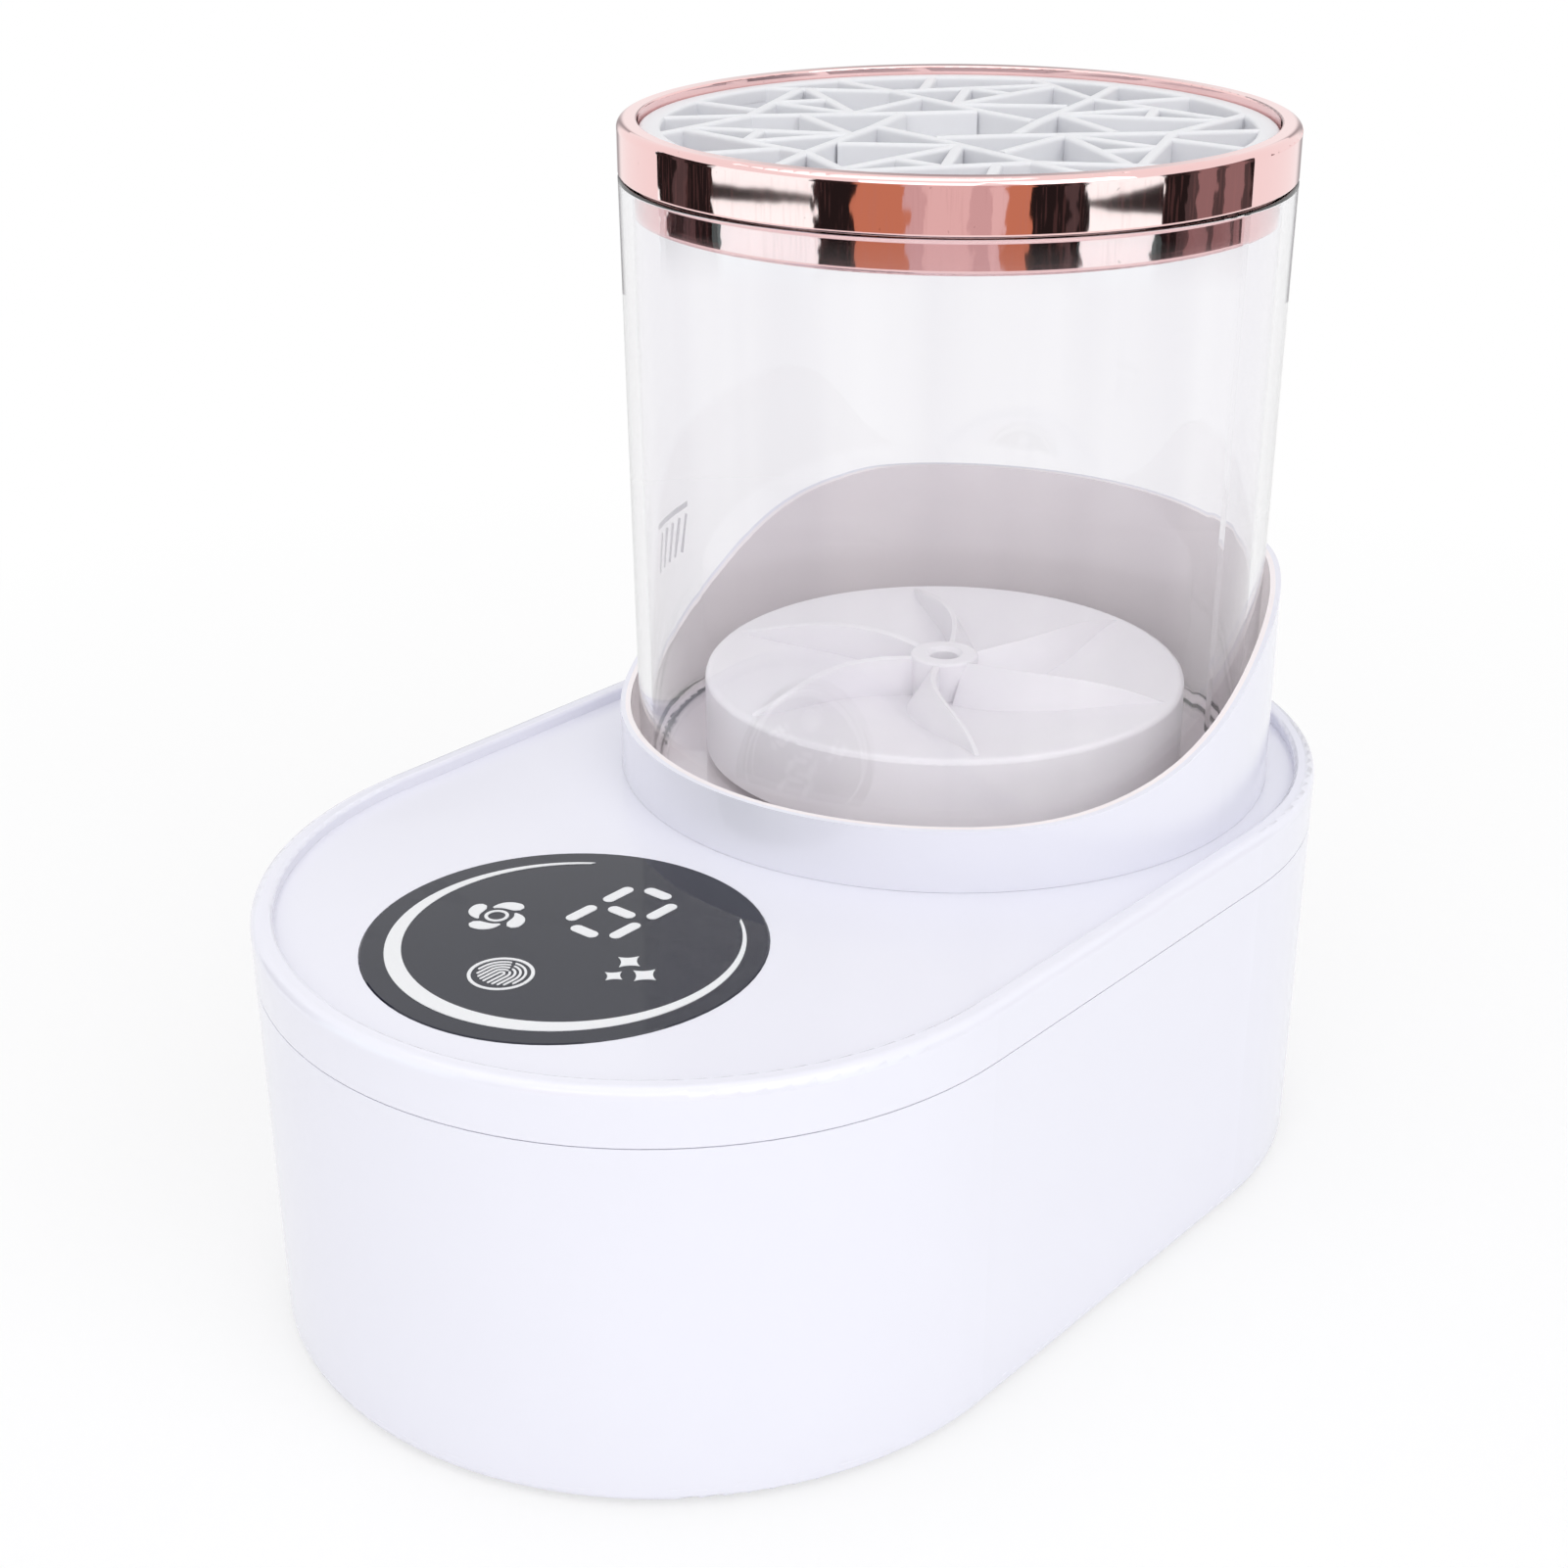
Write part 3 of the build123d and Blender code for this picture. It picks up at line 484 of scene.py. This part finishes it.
finish_of_slot = {
    "white_gloss": white_shell,
    "white_matte": plate_white(),
    "foot_rubber": rubber,
    "steel": steel,
    "smoked_panel": smoked_window(),
    "white_print": white_ink,
    "grey_print": print_ink("grey_ink", (0.62, 0.61, 0.66), (0.72, 0.71, 0.76), 0.5),
    "board_green": board_green(),
    "lamp_white": lamp_resin(),
    "sensor_spring": dark_moulding("sensor_rubber", (0.06, 0.06, 0.065), (0.10, 0.10, 0.105), 0.6),
    "chip_black": board_part_cases(),
    "fan_black": dark_moulding("fan_moulding", (0.018, 0.018, 0.02), (0.035, 0.035, 0.038), 0.4),
    "motor_steel": turned_steel("motor_can", (0.66, 0.67, 0.69)),
    "bracket_metal": turned_steel("bracket_sheet", (0.56, 0.57, 0.60)),
    "carrier_grey": carrier_nylon(),
    "magnet_metal": turned_steel("nickel_plate", (0.74, 0.72, 0.68)),
    "clear_cup": clear_wall(),
    "white_disc": disc_white,
    "rose_plate": plating,
    "white_grid": holder_finish,
}

slot_of_node = {entry["node"]: entry["material_slot"] for entry in frame["record"]["subparts"]}
for node_name, node_object in frame["nodes"].items():
    for index in range(len(node_object.material_slots)):
        node_object.material_slots[index].material = finish_of_slot[slot_of_node[node_name]]


# --- Helpers for pieces --------------------------------------------------------------------------
def add_piece(name, mesh, body, finish):
    """Put a mesh in the scene in one finish, riding on a body."""
    piece = bpy.data.objects.new(name, mesh)
    bpy.context.scene.collection.objects.link(piece)
    mesh.materials.clear()
    mesh.materials.append(finish)
    mesh.polygons.foreach_set("material_index", [0] * len(mesh.polygons))
    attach(piece, body)
    return piece


def grow(name, base_mesh, tree, values):
    """Plain mesh made by running a geometry tree on a base mesh with these input values."""
    base = bpy.data.objects.new(name + "_base", base_mesh)
    bpy.context.scene.collection.objects.link(base)
    growth = base.modifiers.new("growth", "NODES")
    growth.node_group = tree
    for item in tree.interface.items_tree:
        if item.item_type == "SOCKET" and item.in_out == "INPUT" and item.name in values:
            growth[item.identifier] = values[item.name]
    bpy.context.view_layer.update()
    seen = base.evaluated_get(bpy.context.evaluated_depsgraph_get())
    mesh = bpy.data.meshes.new_from_object(seen)
    mesh.name = name
    base.modifiers.remove(growth)
    bpy.data.objects.remove(base)
    return mesh


def new_tree(name, sizes):
    """Geometry tree with one named number input for each size, and a wire for each input."""
    tree = bpy.data.node_groups.new(name, "GeometryNodeTree")
    tree.interface.new_socket("Geometry", in_out="INPUT", socket_type="NodeSocketGeometry")
    for size in sizes:
        tree.interface.new_socket(size, in_out="INPUT", socket_type="NodeSocketFloat")
    tree.interface.new_socket("Geometry", in_out="OUTPUT", socket_type="NodeSocketGeometry")
    start = Wire(tree)
    entry = start.node("NodeGroupInput")
    sockets = entry.socket.node.outputs
    wires = {size: Wire(tree, sockets[size]) for size in ["Geometry", *sizes]}
    return tree, start, wires


def finish_tree(start, geometry, finish):
    """End of a geometry tree: whole geometry, smooth, in its material."""
    whole = start.node("GeometryNodeRealizeInstances", {"Geometry": geometry})
    smooth = start.node("GeometryNodeSetShadeSmooth", {"Geometry": whole, "Shade Smooth": True})
    painted = start.node("GeometryNodeSetMaterial", {"Geometry": smooth, "Material": finish})
    start.node("NodeGroupOutput", {"Geometry": painted})


def line_mesh(name, lines):
    """Mesh of bare edges, one for each pair of points."""
    mesh = bpy.data.meshes.new(name)
    points = [point for line in lines for point in line]
    edges = [(2 * i, 2 * i + 1) for i in range(len(lines))]
    mesh.from_pydata(points, edges, [])
    return mesh


def rounded_bar(start, width, height, rounding):
    """Closed section of a bar with rounded corners."""
    section = start.node("GeometryNodeCurvePrimitiveQuadrilateral", {"Width": width, "Height": height})
    inputs = {"Curve": section, "Radius": rounding, "Limit Radius": True, "Count": 4}
    return start.node("GeometryNodeFilletCurve", inputs, {"mode": "POLY"})


def ring_of(start, radius, height, section):
    """Section swept round the vertical axis at a radius and height."""
    path = start.node("GeometryNodeCurvePrimitiveCircle", {"Radius": radius, "Resolution": 192})
    level = start.node("GeometryNodeSetCurveNormal", {"Curve": path}, {"mode": "Z_UP"})
    swept = start.node("GeometryNodeCurveToMesh", {"Curve": level, "Profile Curve": section})
    lift = start.node("ShaderNodeCombineXYZ", {"Z": height})
    return start.node("GeometryNodeTransform", {"Geometry": swept, "Translation": lift})


# --- Brush holder: rounded ribs inside a stepped ring --------------------------------------------
corner = (7.9, 10.0)
inner_node = (6.9, 16.4)
outer_node = (2.6, 31.6)
side_node = (28.6, 28.3)
rib_lines = [
    (corner, (11.6, -1.6)),
    (corner, outer_node),
    (outer_node, (-1.4, 44.4)),
    (inner_node, (22.0, 8.6)),
    (inner_node, (28.6, 26.8)),
    (inner_node, (14.8, 30.0)),
    ((15.4, 29.6), (18.8, 22.4)),
    (outer_node, side_node),
    ((28.6, 13.6), (28.6, 34.6)),
    ((7.7, 31.2), (14.3, 42.7)),
]


def holder_tree():
    """One sixth of the ribs turned six times, with the flange and the ring below it."""
    sizes = ["Rib Width", "Rib Height", "Rounding", "Middle Height", "Flange Radius",
             "Flange Width", "Flange Height", "Flange Middle",
             "Wall Radius", "Wall Width", "Wall Height", "Wall Middle"]
    tree, start, size = new_tree("holder_tree", sizes)
    lines = start.node("GeometryNodeMeshToCurve", {"Mesh": size["Geometry"]})
    upright = start.node("GeometryNodeSetCurveNormal", {"Curve": lines}, {"mode": "Z_UP"})
    section = rounded_bar(start, size["Rib Width"], size["Rib Height"], size["Rounding"])
    ribs = start.node("GeometryNodeCurveToMesh", {
        "Curve": upright, "Profile Curve": section, "Fill Caps": True})
    lift = start.node("ShaderNodeCombineXYZ", {"Z": size["Middle Height"]})
    ribs = start.node("GeometryNodeTransform", {"Geometry": ribs, "Translation": lift})
    turns = start.node("GeometryNodeMeshLine", {"Count": 6, "Offset": (0, 0, 0)})
    number = start.node("GeometryNodeInputIndex")
    turn = start.node("ShaderNodeCombineXYZ", {"Z": number * (pi / 3)})
    sixths = start.node("GeometryNodeInstanceOnPoints", {
        "Points": turns, "Instance": ribs, "Rotation": turn})
    flange_section = rounded_bar(start, size["Flange Width"], size["Flange Height"], size["Rounding"])
    flange = ring_of(start, size["Flange Radius"], size["Flange Middle"], flange_section)
    wall_section = rounded_bar(start, size["Wall Width"], size["Wall Height"], size["Rounding"])
    wall = ring_of(start, size["Wall Radius"], size["Wall Middle"], wall_section)
    joined = start.node("GeometryNodeJoinGeometry")
    for part in (sixths, flange, wall):
        tree.links.new(part.socket, joined.socket.node.inputs[0])
    finish_tree(start, joined, holder_finish)
    return tree


def make_brush_holder():
    """Ribbed holder that stands brushes upright in the lid."""
    top, bottom = grid_high.z, grid_low.z
    outer, wall_outer, inner = (grid_high.x - grid_low.x) / 2, holder_wall, holder_opening
    wall_inner, wall_top = inner + 0.1 * mm, top - 0.8 * mm
    lines = []
    for i, (begin, end) in enumerate(rib_lines):
        sunk = -0.004 * mm * (i + 1)
        lines.append([(x * mm, y * mm, sunk) for x, y in (begin, end)])
    mesh = grow("brush_holder", line_mesh("rib_lines", lines), holder_tree(), {
        "Rib Width": 1.75 * mm, "Rib Height": top - bottom, "Rounding": 0.5 * mm,
        "Middle Height": (top + bottom) / 2,
        "Flange Radius": (outer + inner) / 2, "Flange Width": outer - inner,
        "Flange Height": top - flange_step, "Flange Middle": (top + flange_step) / 2,
        "Wall Radius": (wall_outer + wall_inner) / 2, "Wall Width": wall_outer - wall_inner,
        "Wall Height": wall_top - bottom, "Wall Middle": (wall_top + bottom) / 2,
    })
    mesh.transform(Matrix.Translation(cup_axis))
    piece = add_piece("brush_holder", mesh, "lid", holder_finish)
    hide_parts("lid_grid")
    return piece


make_brush_holder()


# --- Touch panel print ---------------------------------------------------------------------------
def arc_points(centre, radius, begin, end, count):
    """Points along an arc, angles in degrees."""
    turns = [radians(begin + (end - begin) * i / (count - 1)) for i in range(count)]
    return [(centre[0] + radius * cos(t), centre[1] + radius * sin(t)) for t in turns]


def ribbon(points, widths):
    """Two edges of a line of points drawn with a pen as wide as each width."""
    left, right = [], []
    for i, (x, y) in enumerate(points):
        x0, y0 = points[max(i - 1, 0)]
        x1, y1 = points[min(i + 1, len(points) - 1)]
        length = hypot(x1 - x0, y1 - y0)
        nx, ny = -(y1 - y0) / length * widths[i] / 2, (x1 - x0) / length * widths[i] / 2
        left.append((x + nx, y + ny))
        right.append((x - nx, y - ny))
    return left, right


def stroke(points, width):
    """Line of points drawn with a round pen."""
    (x0, y0), (x1, y1) = points[0], points[1]
    (x2, y2), (x3, y3) = points[-2], points[-1]
    first, last = hypot(x1 - x0, y1 - y0), hypot(x3 - x2, y3 - y2)
    tail, head, widths = [], [], []
    for turn in (15, 40, 65):
        back = width / 2 * cos(radians(turn))
        widths.append(width * sin(radians(turn)))
        tail.append((x0 - (x1 - x0) / first * back, y0 - (y1 - y0) / first * back))
        head.append((x3 + (x3 - x2) / last * back, y3 + (y3 - y2) / last * back))
    return ribbon(tail + points + head[::-1], widths + [width] * len(points) + widths[::-1])


def crescent():
    """Thin ring, thickest towards the front edge and open towards the cup."""
    outer = arc_points((0.15, 0), 25.1, 124.5, 415.5, 97)
    inner = arc_points((0.2, 1.25), 23.7, 128.0, 412.0, 97)
    return outer, inner


def digit_bars():
    """Seven bars of one digit."""
    bars = []
    for row in (-1, 0, 1):
        y = 11.4 + 7.6 * row
        bars.append(stroke([(-1.4, y), (1.4, y)], 1.9))
    for row in (-0.5, 0.5):
        for side in (-1, 1):
            x, y = 4.25 * side, 11.4 + 7.6 * row
            bars.append(stroke([(x, y - 1.9), (x, y + 1.9)], 1.8))
    return bars


def swirl_blades(centre):
    """Four curved blades round a hub, each growing from a point to a broad rounded end."""
    root, bend, end = (-2.2, 1.5), (-1.6, 3.9), (1.3, 3.75)
    count, thin, swell, round_from = 15, 0.3, 1.9, 0.8
    blades = []
    for quarter in range(4):
        turn = radians(-90 * quarter)
        points, widths = [], []
        for i in range(count):
            t = i / (count - 1)
            shares = ((1 - t) ** 2, 2 * t * (1 - t), t * t)
            x = shares[0] * root[0] + shares[1] * bend[0] + shares[2] * end[0]
            y = shares[0] * root[1] + shares[1] * bend[1] + shares[2] * end[1]
            points.append((
                centre[0] + x * cos(turn) - y * sin(turn),
                centre[1] + x * sin(turn) + y * cos(turn),
            ))
            rounding = 1 - max(t - round_from, 0) ** 2 * 18
            widths.append(thin + swell * sin(pi * min(t * 0.72, 0.5)) * rounding)
        blades.append(ribbon(points, widths))
    return blades


def ring_mark(centre, inner, outer):
    """Ring with a hair-thin gap where its stroke closes."""
    return (arc_points(centre, outer, 0.5, 359.5, 49), arc_points(centre, inner, 0.5, 359.5, 49))


def finger_ridges(centre):
    """Nested arches of a fingertip, open towards the front and broken here and there."""
    first, pitch, pad_radius, line_width = 0.42, 0.72, 3.5, 0.34
    x, y = centre[0], centre[1] + 0.1
    ridges = []
    for k in range(5):
        reach = first + pitch * k
        leg_length = 0.85 * sqrt(max(pad_radius ** 2 - reach ** 2, 0.1))
        arch = arc_points((x, y), reach, 0, 180, 9 + 4 * k)
        shares = [0.25, 0.5, 0.75, 1.0] if reach < 2.6 else [0.5, 1.0]
        right_leg = [(x + reach, y - leg_length * share) for share in reversed(shares)]
        left_leg = [(x - reach, y - leg_length * share) for share in shares]
        line = right_leg + arch + left_leg
        cut = len(right_leg) + (2 + 3 * k) % len(arch)
        ridges.append(stroke(line[:cut], line_width))
        ridges.append(stroke(line[cut + 1:], line_width))
    return ridges


def sparkle(centre, reach):
    """Four-pointed star with hollow sides, as two strips that meet along its middle."""
    hollow, radius, tip_angle = 1.5 * reach, 1.58 * reach, 18.4
    quarter = arc_points((hollow, hollow), radius, 270 - tip_angle, 180 + tip_angle, 9)
    strips = []
    for side in (-1, 1):
        edge = sorted((centre[0] + half * x, centre[1] + side * y) for x, y in quarter for half in (-1, 1))
        strips.append((edge, [(x, centre[1]) for x, y in edge]))
    return strips


def print_marks(name, strips, low, high):
    """Thin solid strips over the panel, each from its two edges."""
    shapes = bmesh.new()
    for left, right in strips:
        rungs = []
        for a, b in zip(left, right):
            corners = [(a, low), (b, low), (b, high), (a, high)]
            rungs.append([shapes.verts.new((x * mm, panel_y + y * mm, z)) for (x, y), z in corners])
        for here, there in zip(rungs, rungs[1:]):
            for k in range(4):
                shapes.faces.new((here[k], there[k], there[(k + 1) % 4], here[(k + 1) % 4]))
        shapes.faces.new(rungs[0])
        shapes.faces.new(rungs[-1][::-1])
    bmesh.ops.remove_doubles(shapes, verts=shapes.verts, dist=0.0005 * mm)
    bmesh.ops.recalc_face_normals(shapes, faces=shapes.faces)
    mesh = bpy.data.meshes.new(name)
    shapes.to_mesh(mesh)
    shapes.free()
    return mesh


def make_panel_print():
    """White marks printed on the smoked window."""
    fan_mark, finger_mark = (-12.9, -0.7), (0, -12.4)
    strips = [crescent(), *digit_bars()]
    strips += [ring_mark(fan_mark, 1.25, 1.75), *swirl_blades(fan_mark)]
    strips += [ring_mark(finger_mark, 4.1, 4.6), *finger_ridges(finger_mark)]
    strips += [*sparkle((11.0, 1.2), 2.0), *sparkle((15.3, -0.3), 2.1), *sparkle((12.2, -3.1), 1.6)]
    mesh = print_marks("panel_print", strips, marks_low.z, marks_high.z)
    piece = add_piece("panel_print", mesh, "base", white_ink)
    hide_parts("panel_marks")
    return piece


make_panel_print()


# --- Feet with moulded rings underneath ----------------------------------------------------------
def foot_tree():
    """One foot, a flat disc over ridged rings, standing on each point of the base mesh."""
    tree, start, size = new_tree("foot_tree", ["Radius", "Height", "Ridge Height", "Ridge Step"])
    body_height = size["Height"] - size["Ridge Height"]
    disc = start.node("GeometryNodeMeshCylinder", {
        "Vertices": 64, "Radius": size["Radius"], "Depth": body_height})
    middle = start.node("ShaderNodeCombineXYZ", {"Z": size["Ridge Height"] + body_height * 0.5})
    disc = start.node("GeometryNodeTransform", {"Geometry": disc, "Translation": middle})
    flat = start.node("GeometryNodeSetShadeSmooth", {"Geometry": disc, "Shade Smooth": False})
    joined = start.node("GeometryNodeJoinGeometry")
    tree.links.new(flat.socket, joined.socket.node.inputs[0])
    step = size["Ridge Step"]
    section = rounded_bar(start, step * 0.55, size["Ridge Height"] * 2, step * 0.15)
    for ridge in range(1, 4):
        ring = ring_of(start, size["Radius"] - step * (ridge - 0.6), size["Ridge Height"], section)
        tree.links.new(ring.socket, joined.socket.node.inputs[0])
    feet = start.node("GeometryNodeInstanceOnPoints", {"Points": size["Geometry"], "Instance": joined})
    whole = start.node("GeometryNodeRealizeInstances", {"Geometry": feet})
    painted = start.node("GeometryNodeSetMaterial", {"Geometry": whole, "Material": rubber})
    start.node("NodeGroupOutput", {"Geometry": painted})
    return tree


def make_feet():
    """Four rubber feet with rings moulded into their soles."""
    places = bpy.data.meshes.new("foot_places")
    x, y = feet_high.x - foot_radius, feet_high.y - foot_radius
    places.from_pydata([(i * x, j * y, 0) for i in (-1, 1) for j in (-1, 1)], [], [])
    mesh = grow("foot_pads", places, foot_tree(), {
        "Radius": foot_radius, "Height": feet_high.z, "Ridge Height": 0.45 * mm, "Ridge Step": 2.0 * mm})
    piece = add_piece("foot_pads", mesh, "base", rubber)
    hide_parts("feet")
    return piece


make_feet()


# --- Stage: floor, surround, lamps and world -----------------------------------------------------
def seen_directly(start):
    """1 for rays from the camera and for rays that metal and clear walls send on, else 0."""
    sent_on = ray_says(start, "Is Glossy Ray") + ray_says(start, "Is Transmission Ray")
    return (ray_says(start, "Is Camera Ray") + sent_on).clipped()


def make_world():
    """White room: plain soft light on the object, pure white where it is seen."""
    world = bpy.data.worlds.new("white_room")
    world.use_nodes = True
    world.node_tree.nodes.clear()
    start = Wire(world.node_tree)
    seen = seen_directly(start)
    room_light = 0.77
    light = start.node("ShaderNodeBackground", {
        "Color": (1, 1, 1, 1), "Strength": room_light + (1 - room_light) * seen})
    start.node("ShaderNodeOutputWorld", {"Surface": light})
    bpy.context.scene.world = world


def make_floor():
    """Pale paper floor that keeps a light shadow and fades to white away from the object."""
    made, start = new_finish("paper_floor")
    x, y, z = axes_of(start, place_of(start))
    reach = (x * x + y * y).root()
    away = ((reach - 0.13) / 0.25).clipped()
    paper = start.node("ShaderNodeBsdfDiffuse", {"Color": (0.93, 0.93, 0.935, 1)})
    white = start.node("ShaderNodeEmission", {"Color": (1, 1, 1, 1), "Strength": 1.0})
    share = seen_directly(start) * (0.6 + 0.4 * away)
    mixed = start.node("ShaderNodeMixShader", {0: share, 1: paper, 2: white})
    start.node("ShaderNodeOutputMaterial", {"Surface": mixed})
    size = 6.0
    mesh = bpy.data.meshes.new("floor")
    corners = [(-size, -size, 0), (size, -size, 0), (size, size, 0), (-size, size, 0)]
    mesh.from_pydata(corners, [], [(0, 1, 2, 3)])
    floor = bpy.data.objects.new("floor", mesh)
    mesh.materials.append(made)
    bpy.context.scene.collection.objects.link(floor)


def paint_round(name, shades, blend, wobble=0.0, slots=()):
    """Glowing shades round the cup's axis, each from its angle in degrees off the camera.

    Only rays that a shiny surface has sent on see them.
    The shades' edges wander by up to wobble degrees. Each slot is a dark wedge: the angles where it
    starts and ends, its middle height, its half height at the start, and how fast that grows.
    """
    made, start = new_finish(name)
    x, y, z = axes_of(start, place_of(start, moved=(0, -cup_y, 0)))
    side = x * cos(camera_turn) + y * sin(camera_turn)
    across = y * cos(camera_turn) - x * sin(camera_turn)
    turn = across.maths("ARCTAN2", across, side) / (2 * pi)
    turn = (turn + 1).fraction()
    ragged = noise(start, place_of(start, stretched=(1, 1, 7)), 60 * mm, 3) - 0.5
    ragged_turn = turn + wobble / 360 * ragged
    stops = [(angle / 360, colour) for angle, colour in shades]
    colour = start.node("ShaderNodeValToRGB", {0: ragged_turn}, {"stops": stops, "blend": blend})
    for begin, end, middle, half, growth in slots:
        inside = (turn > begin / 360) * (turn < end / 360)
        reach = half * mm + growth * mm * (turn * 360 - begin)
        wedge = inside * (abs(z - middle * mm + 1.5 * mm * ragged) < reach)
        colour = between(start, wedge, colour, dark_gap)
    if slots:
        reflection_streaks = noise(start, place_of(start, stretched=(1, 1, 0.4)), 9 * mm, 3) > 0.57
        colour = between(start, reflection_streaks * 0.10, colour, (0.45, 0.26, 0.25))
        above_floor = ((z - 6 * mm) / (20 * mm)).clipped()
        colour = between(start, above_floor, (1.0, 1.0, 1.0), colour)
    glow = start.node("ShaderNodeEmission", {"Color": colour, "Strength": 1.0})
    unseen = start.node("ShaderNodeBsdfTransparent", {"Color": (1, 1, 1, 1)})
    bounced = ray_says(start, "Glossy Depth") > 0.5
    mixed = start.node("ShaderNodeMixShader", {0: bounced, 1: unseen, 2: glow})
    start.node("ShaderNodeOutputMaterial", {"Surface": mixed})
    return made


def make_surround(name, begin, end, paint, through_walls):
    """Low wall round part of the stage that only shiny finishes see."""
    reach, top, count = 0.6, 0.34, 90
    points, faces = [], []
    for i in range(count + 1):
        turn = camera_turn + radians(begin + (end - begin) * i / count)
        for z in (0, top):
            points.append((reach * cos(turn), cup_y + reach * sin(turn), z))
    faces = [(2 * i, 2 * i + 2, 2 * i + 3, 2 * i + 1) for i in range(count)]
    mesh = bpy.data.meshes.new(name)
    mesh.from_pydata(points, [], faces)
    mesh.materials.append(paint)
    wall = bpy.data.objects.new(name, mesh)
    bpy.context.scene.collection.objects.link(wall)
    wall.visible_camera = False
    wall.visible_diffuse = False
    wall.visible_transmission = through_walls
    wall.visible_volume_scatter = False
    wall.visible_shadow = False


def make_studio():
    """Dark gaps, bright panels and warm shades in front; pale grey bands behind."""
    bright, brown, umber = (1.18, 1.48, 1.48), (0.30, 0.20, 0.20), (0.085, 0.065, 0.066)
    copper, blush, rose = (0.58, 0.25, 0.15), (0.80, 0.64, 0.63), (0.66, 0.50, 0.50)
    front = [
        (0, blush), (5, rose), (10, blush), (14.5, copper), (23, dark_gap), (34, umber), (37, dark_gap),
        (40.5, bright), (67.5, dark_gap), (76, umber), (81, brown), (90, umber), (93, brown),
        (103, umber), (106, dark_gap), (109, bright), (247, dark_gap), (256, umber), (263, dark_gap),
        (277, bright), (315, dark_gap), (328, copper), (344, rose), (349, blush),
    ]
    slots = [(266, 315, 52.0, 3.6, -0.046), (40, 68, 51.5, 0.8, 0.17)]
    paint = paint_round("studio_front", front, "CONSTANT", 9, slots)
    make_surround("studio_front", -113, 109, paint, True)
    pale, grey = (1.0, 1.0, 1.0), (0.42, 0.41, 0.42)
    back = [
        (0, pale), (148, pale), (158, grey), (168, pale), (180, grey), (192, pale), (202, grey), (212, pale),
    ]
    make_surround("studio_back", 140, 220, paint_round("studio_back", back, "EASE"), False)


def make_lamp(name, place, size, power):
    """Soft square lamp aimed at the middle of the object."""
    light = bpy.data.lights.new(name, "AREA")
    light.shape = "SQUARE"
    light.size = size
    light.energy = power
    lamp = bpy.data.objects.new(name, light)
    lamp.location = place
    aim = Vector((0, 0, 0.08)) - Vector(place)
    lamp.rotation_mode = "QUATERNION"
    lamp.rotation_quaternion = aim.to_track_quat("-Z", "Y")
    bpy.context.scene.collection.objects.link(lamp)


make_world()
make_floor()
make_studio()
for lamp_name, lamp_place, lamp_size, watts in [
    ("key_lamp", (1.1, -0.2, 1.1), 1.0, 5.0),
    ("front_lamp", (0.5, -1.1, 0.8), 0.9, 2.6),
    ("top_lamp", (-0.3, -0.2, 1.6), 1.2, 3.0),
]:
    make_lamp(lamp_name, lamp_place, lamp_size, watts)
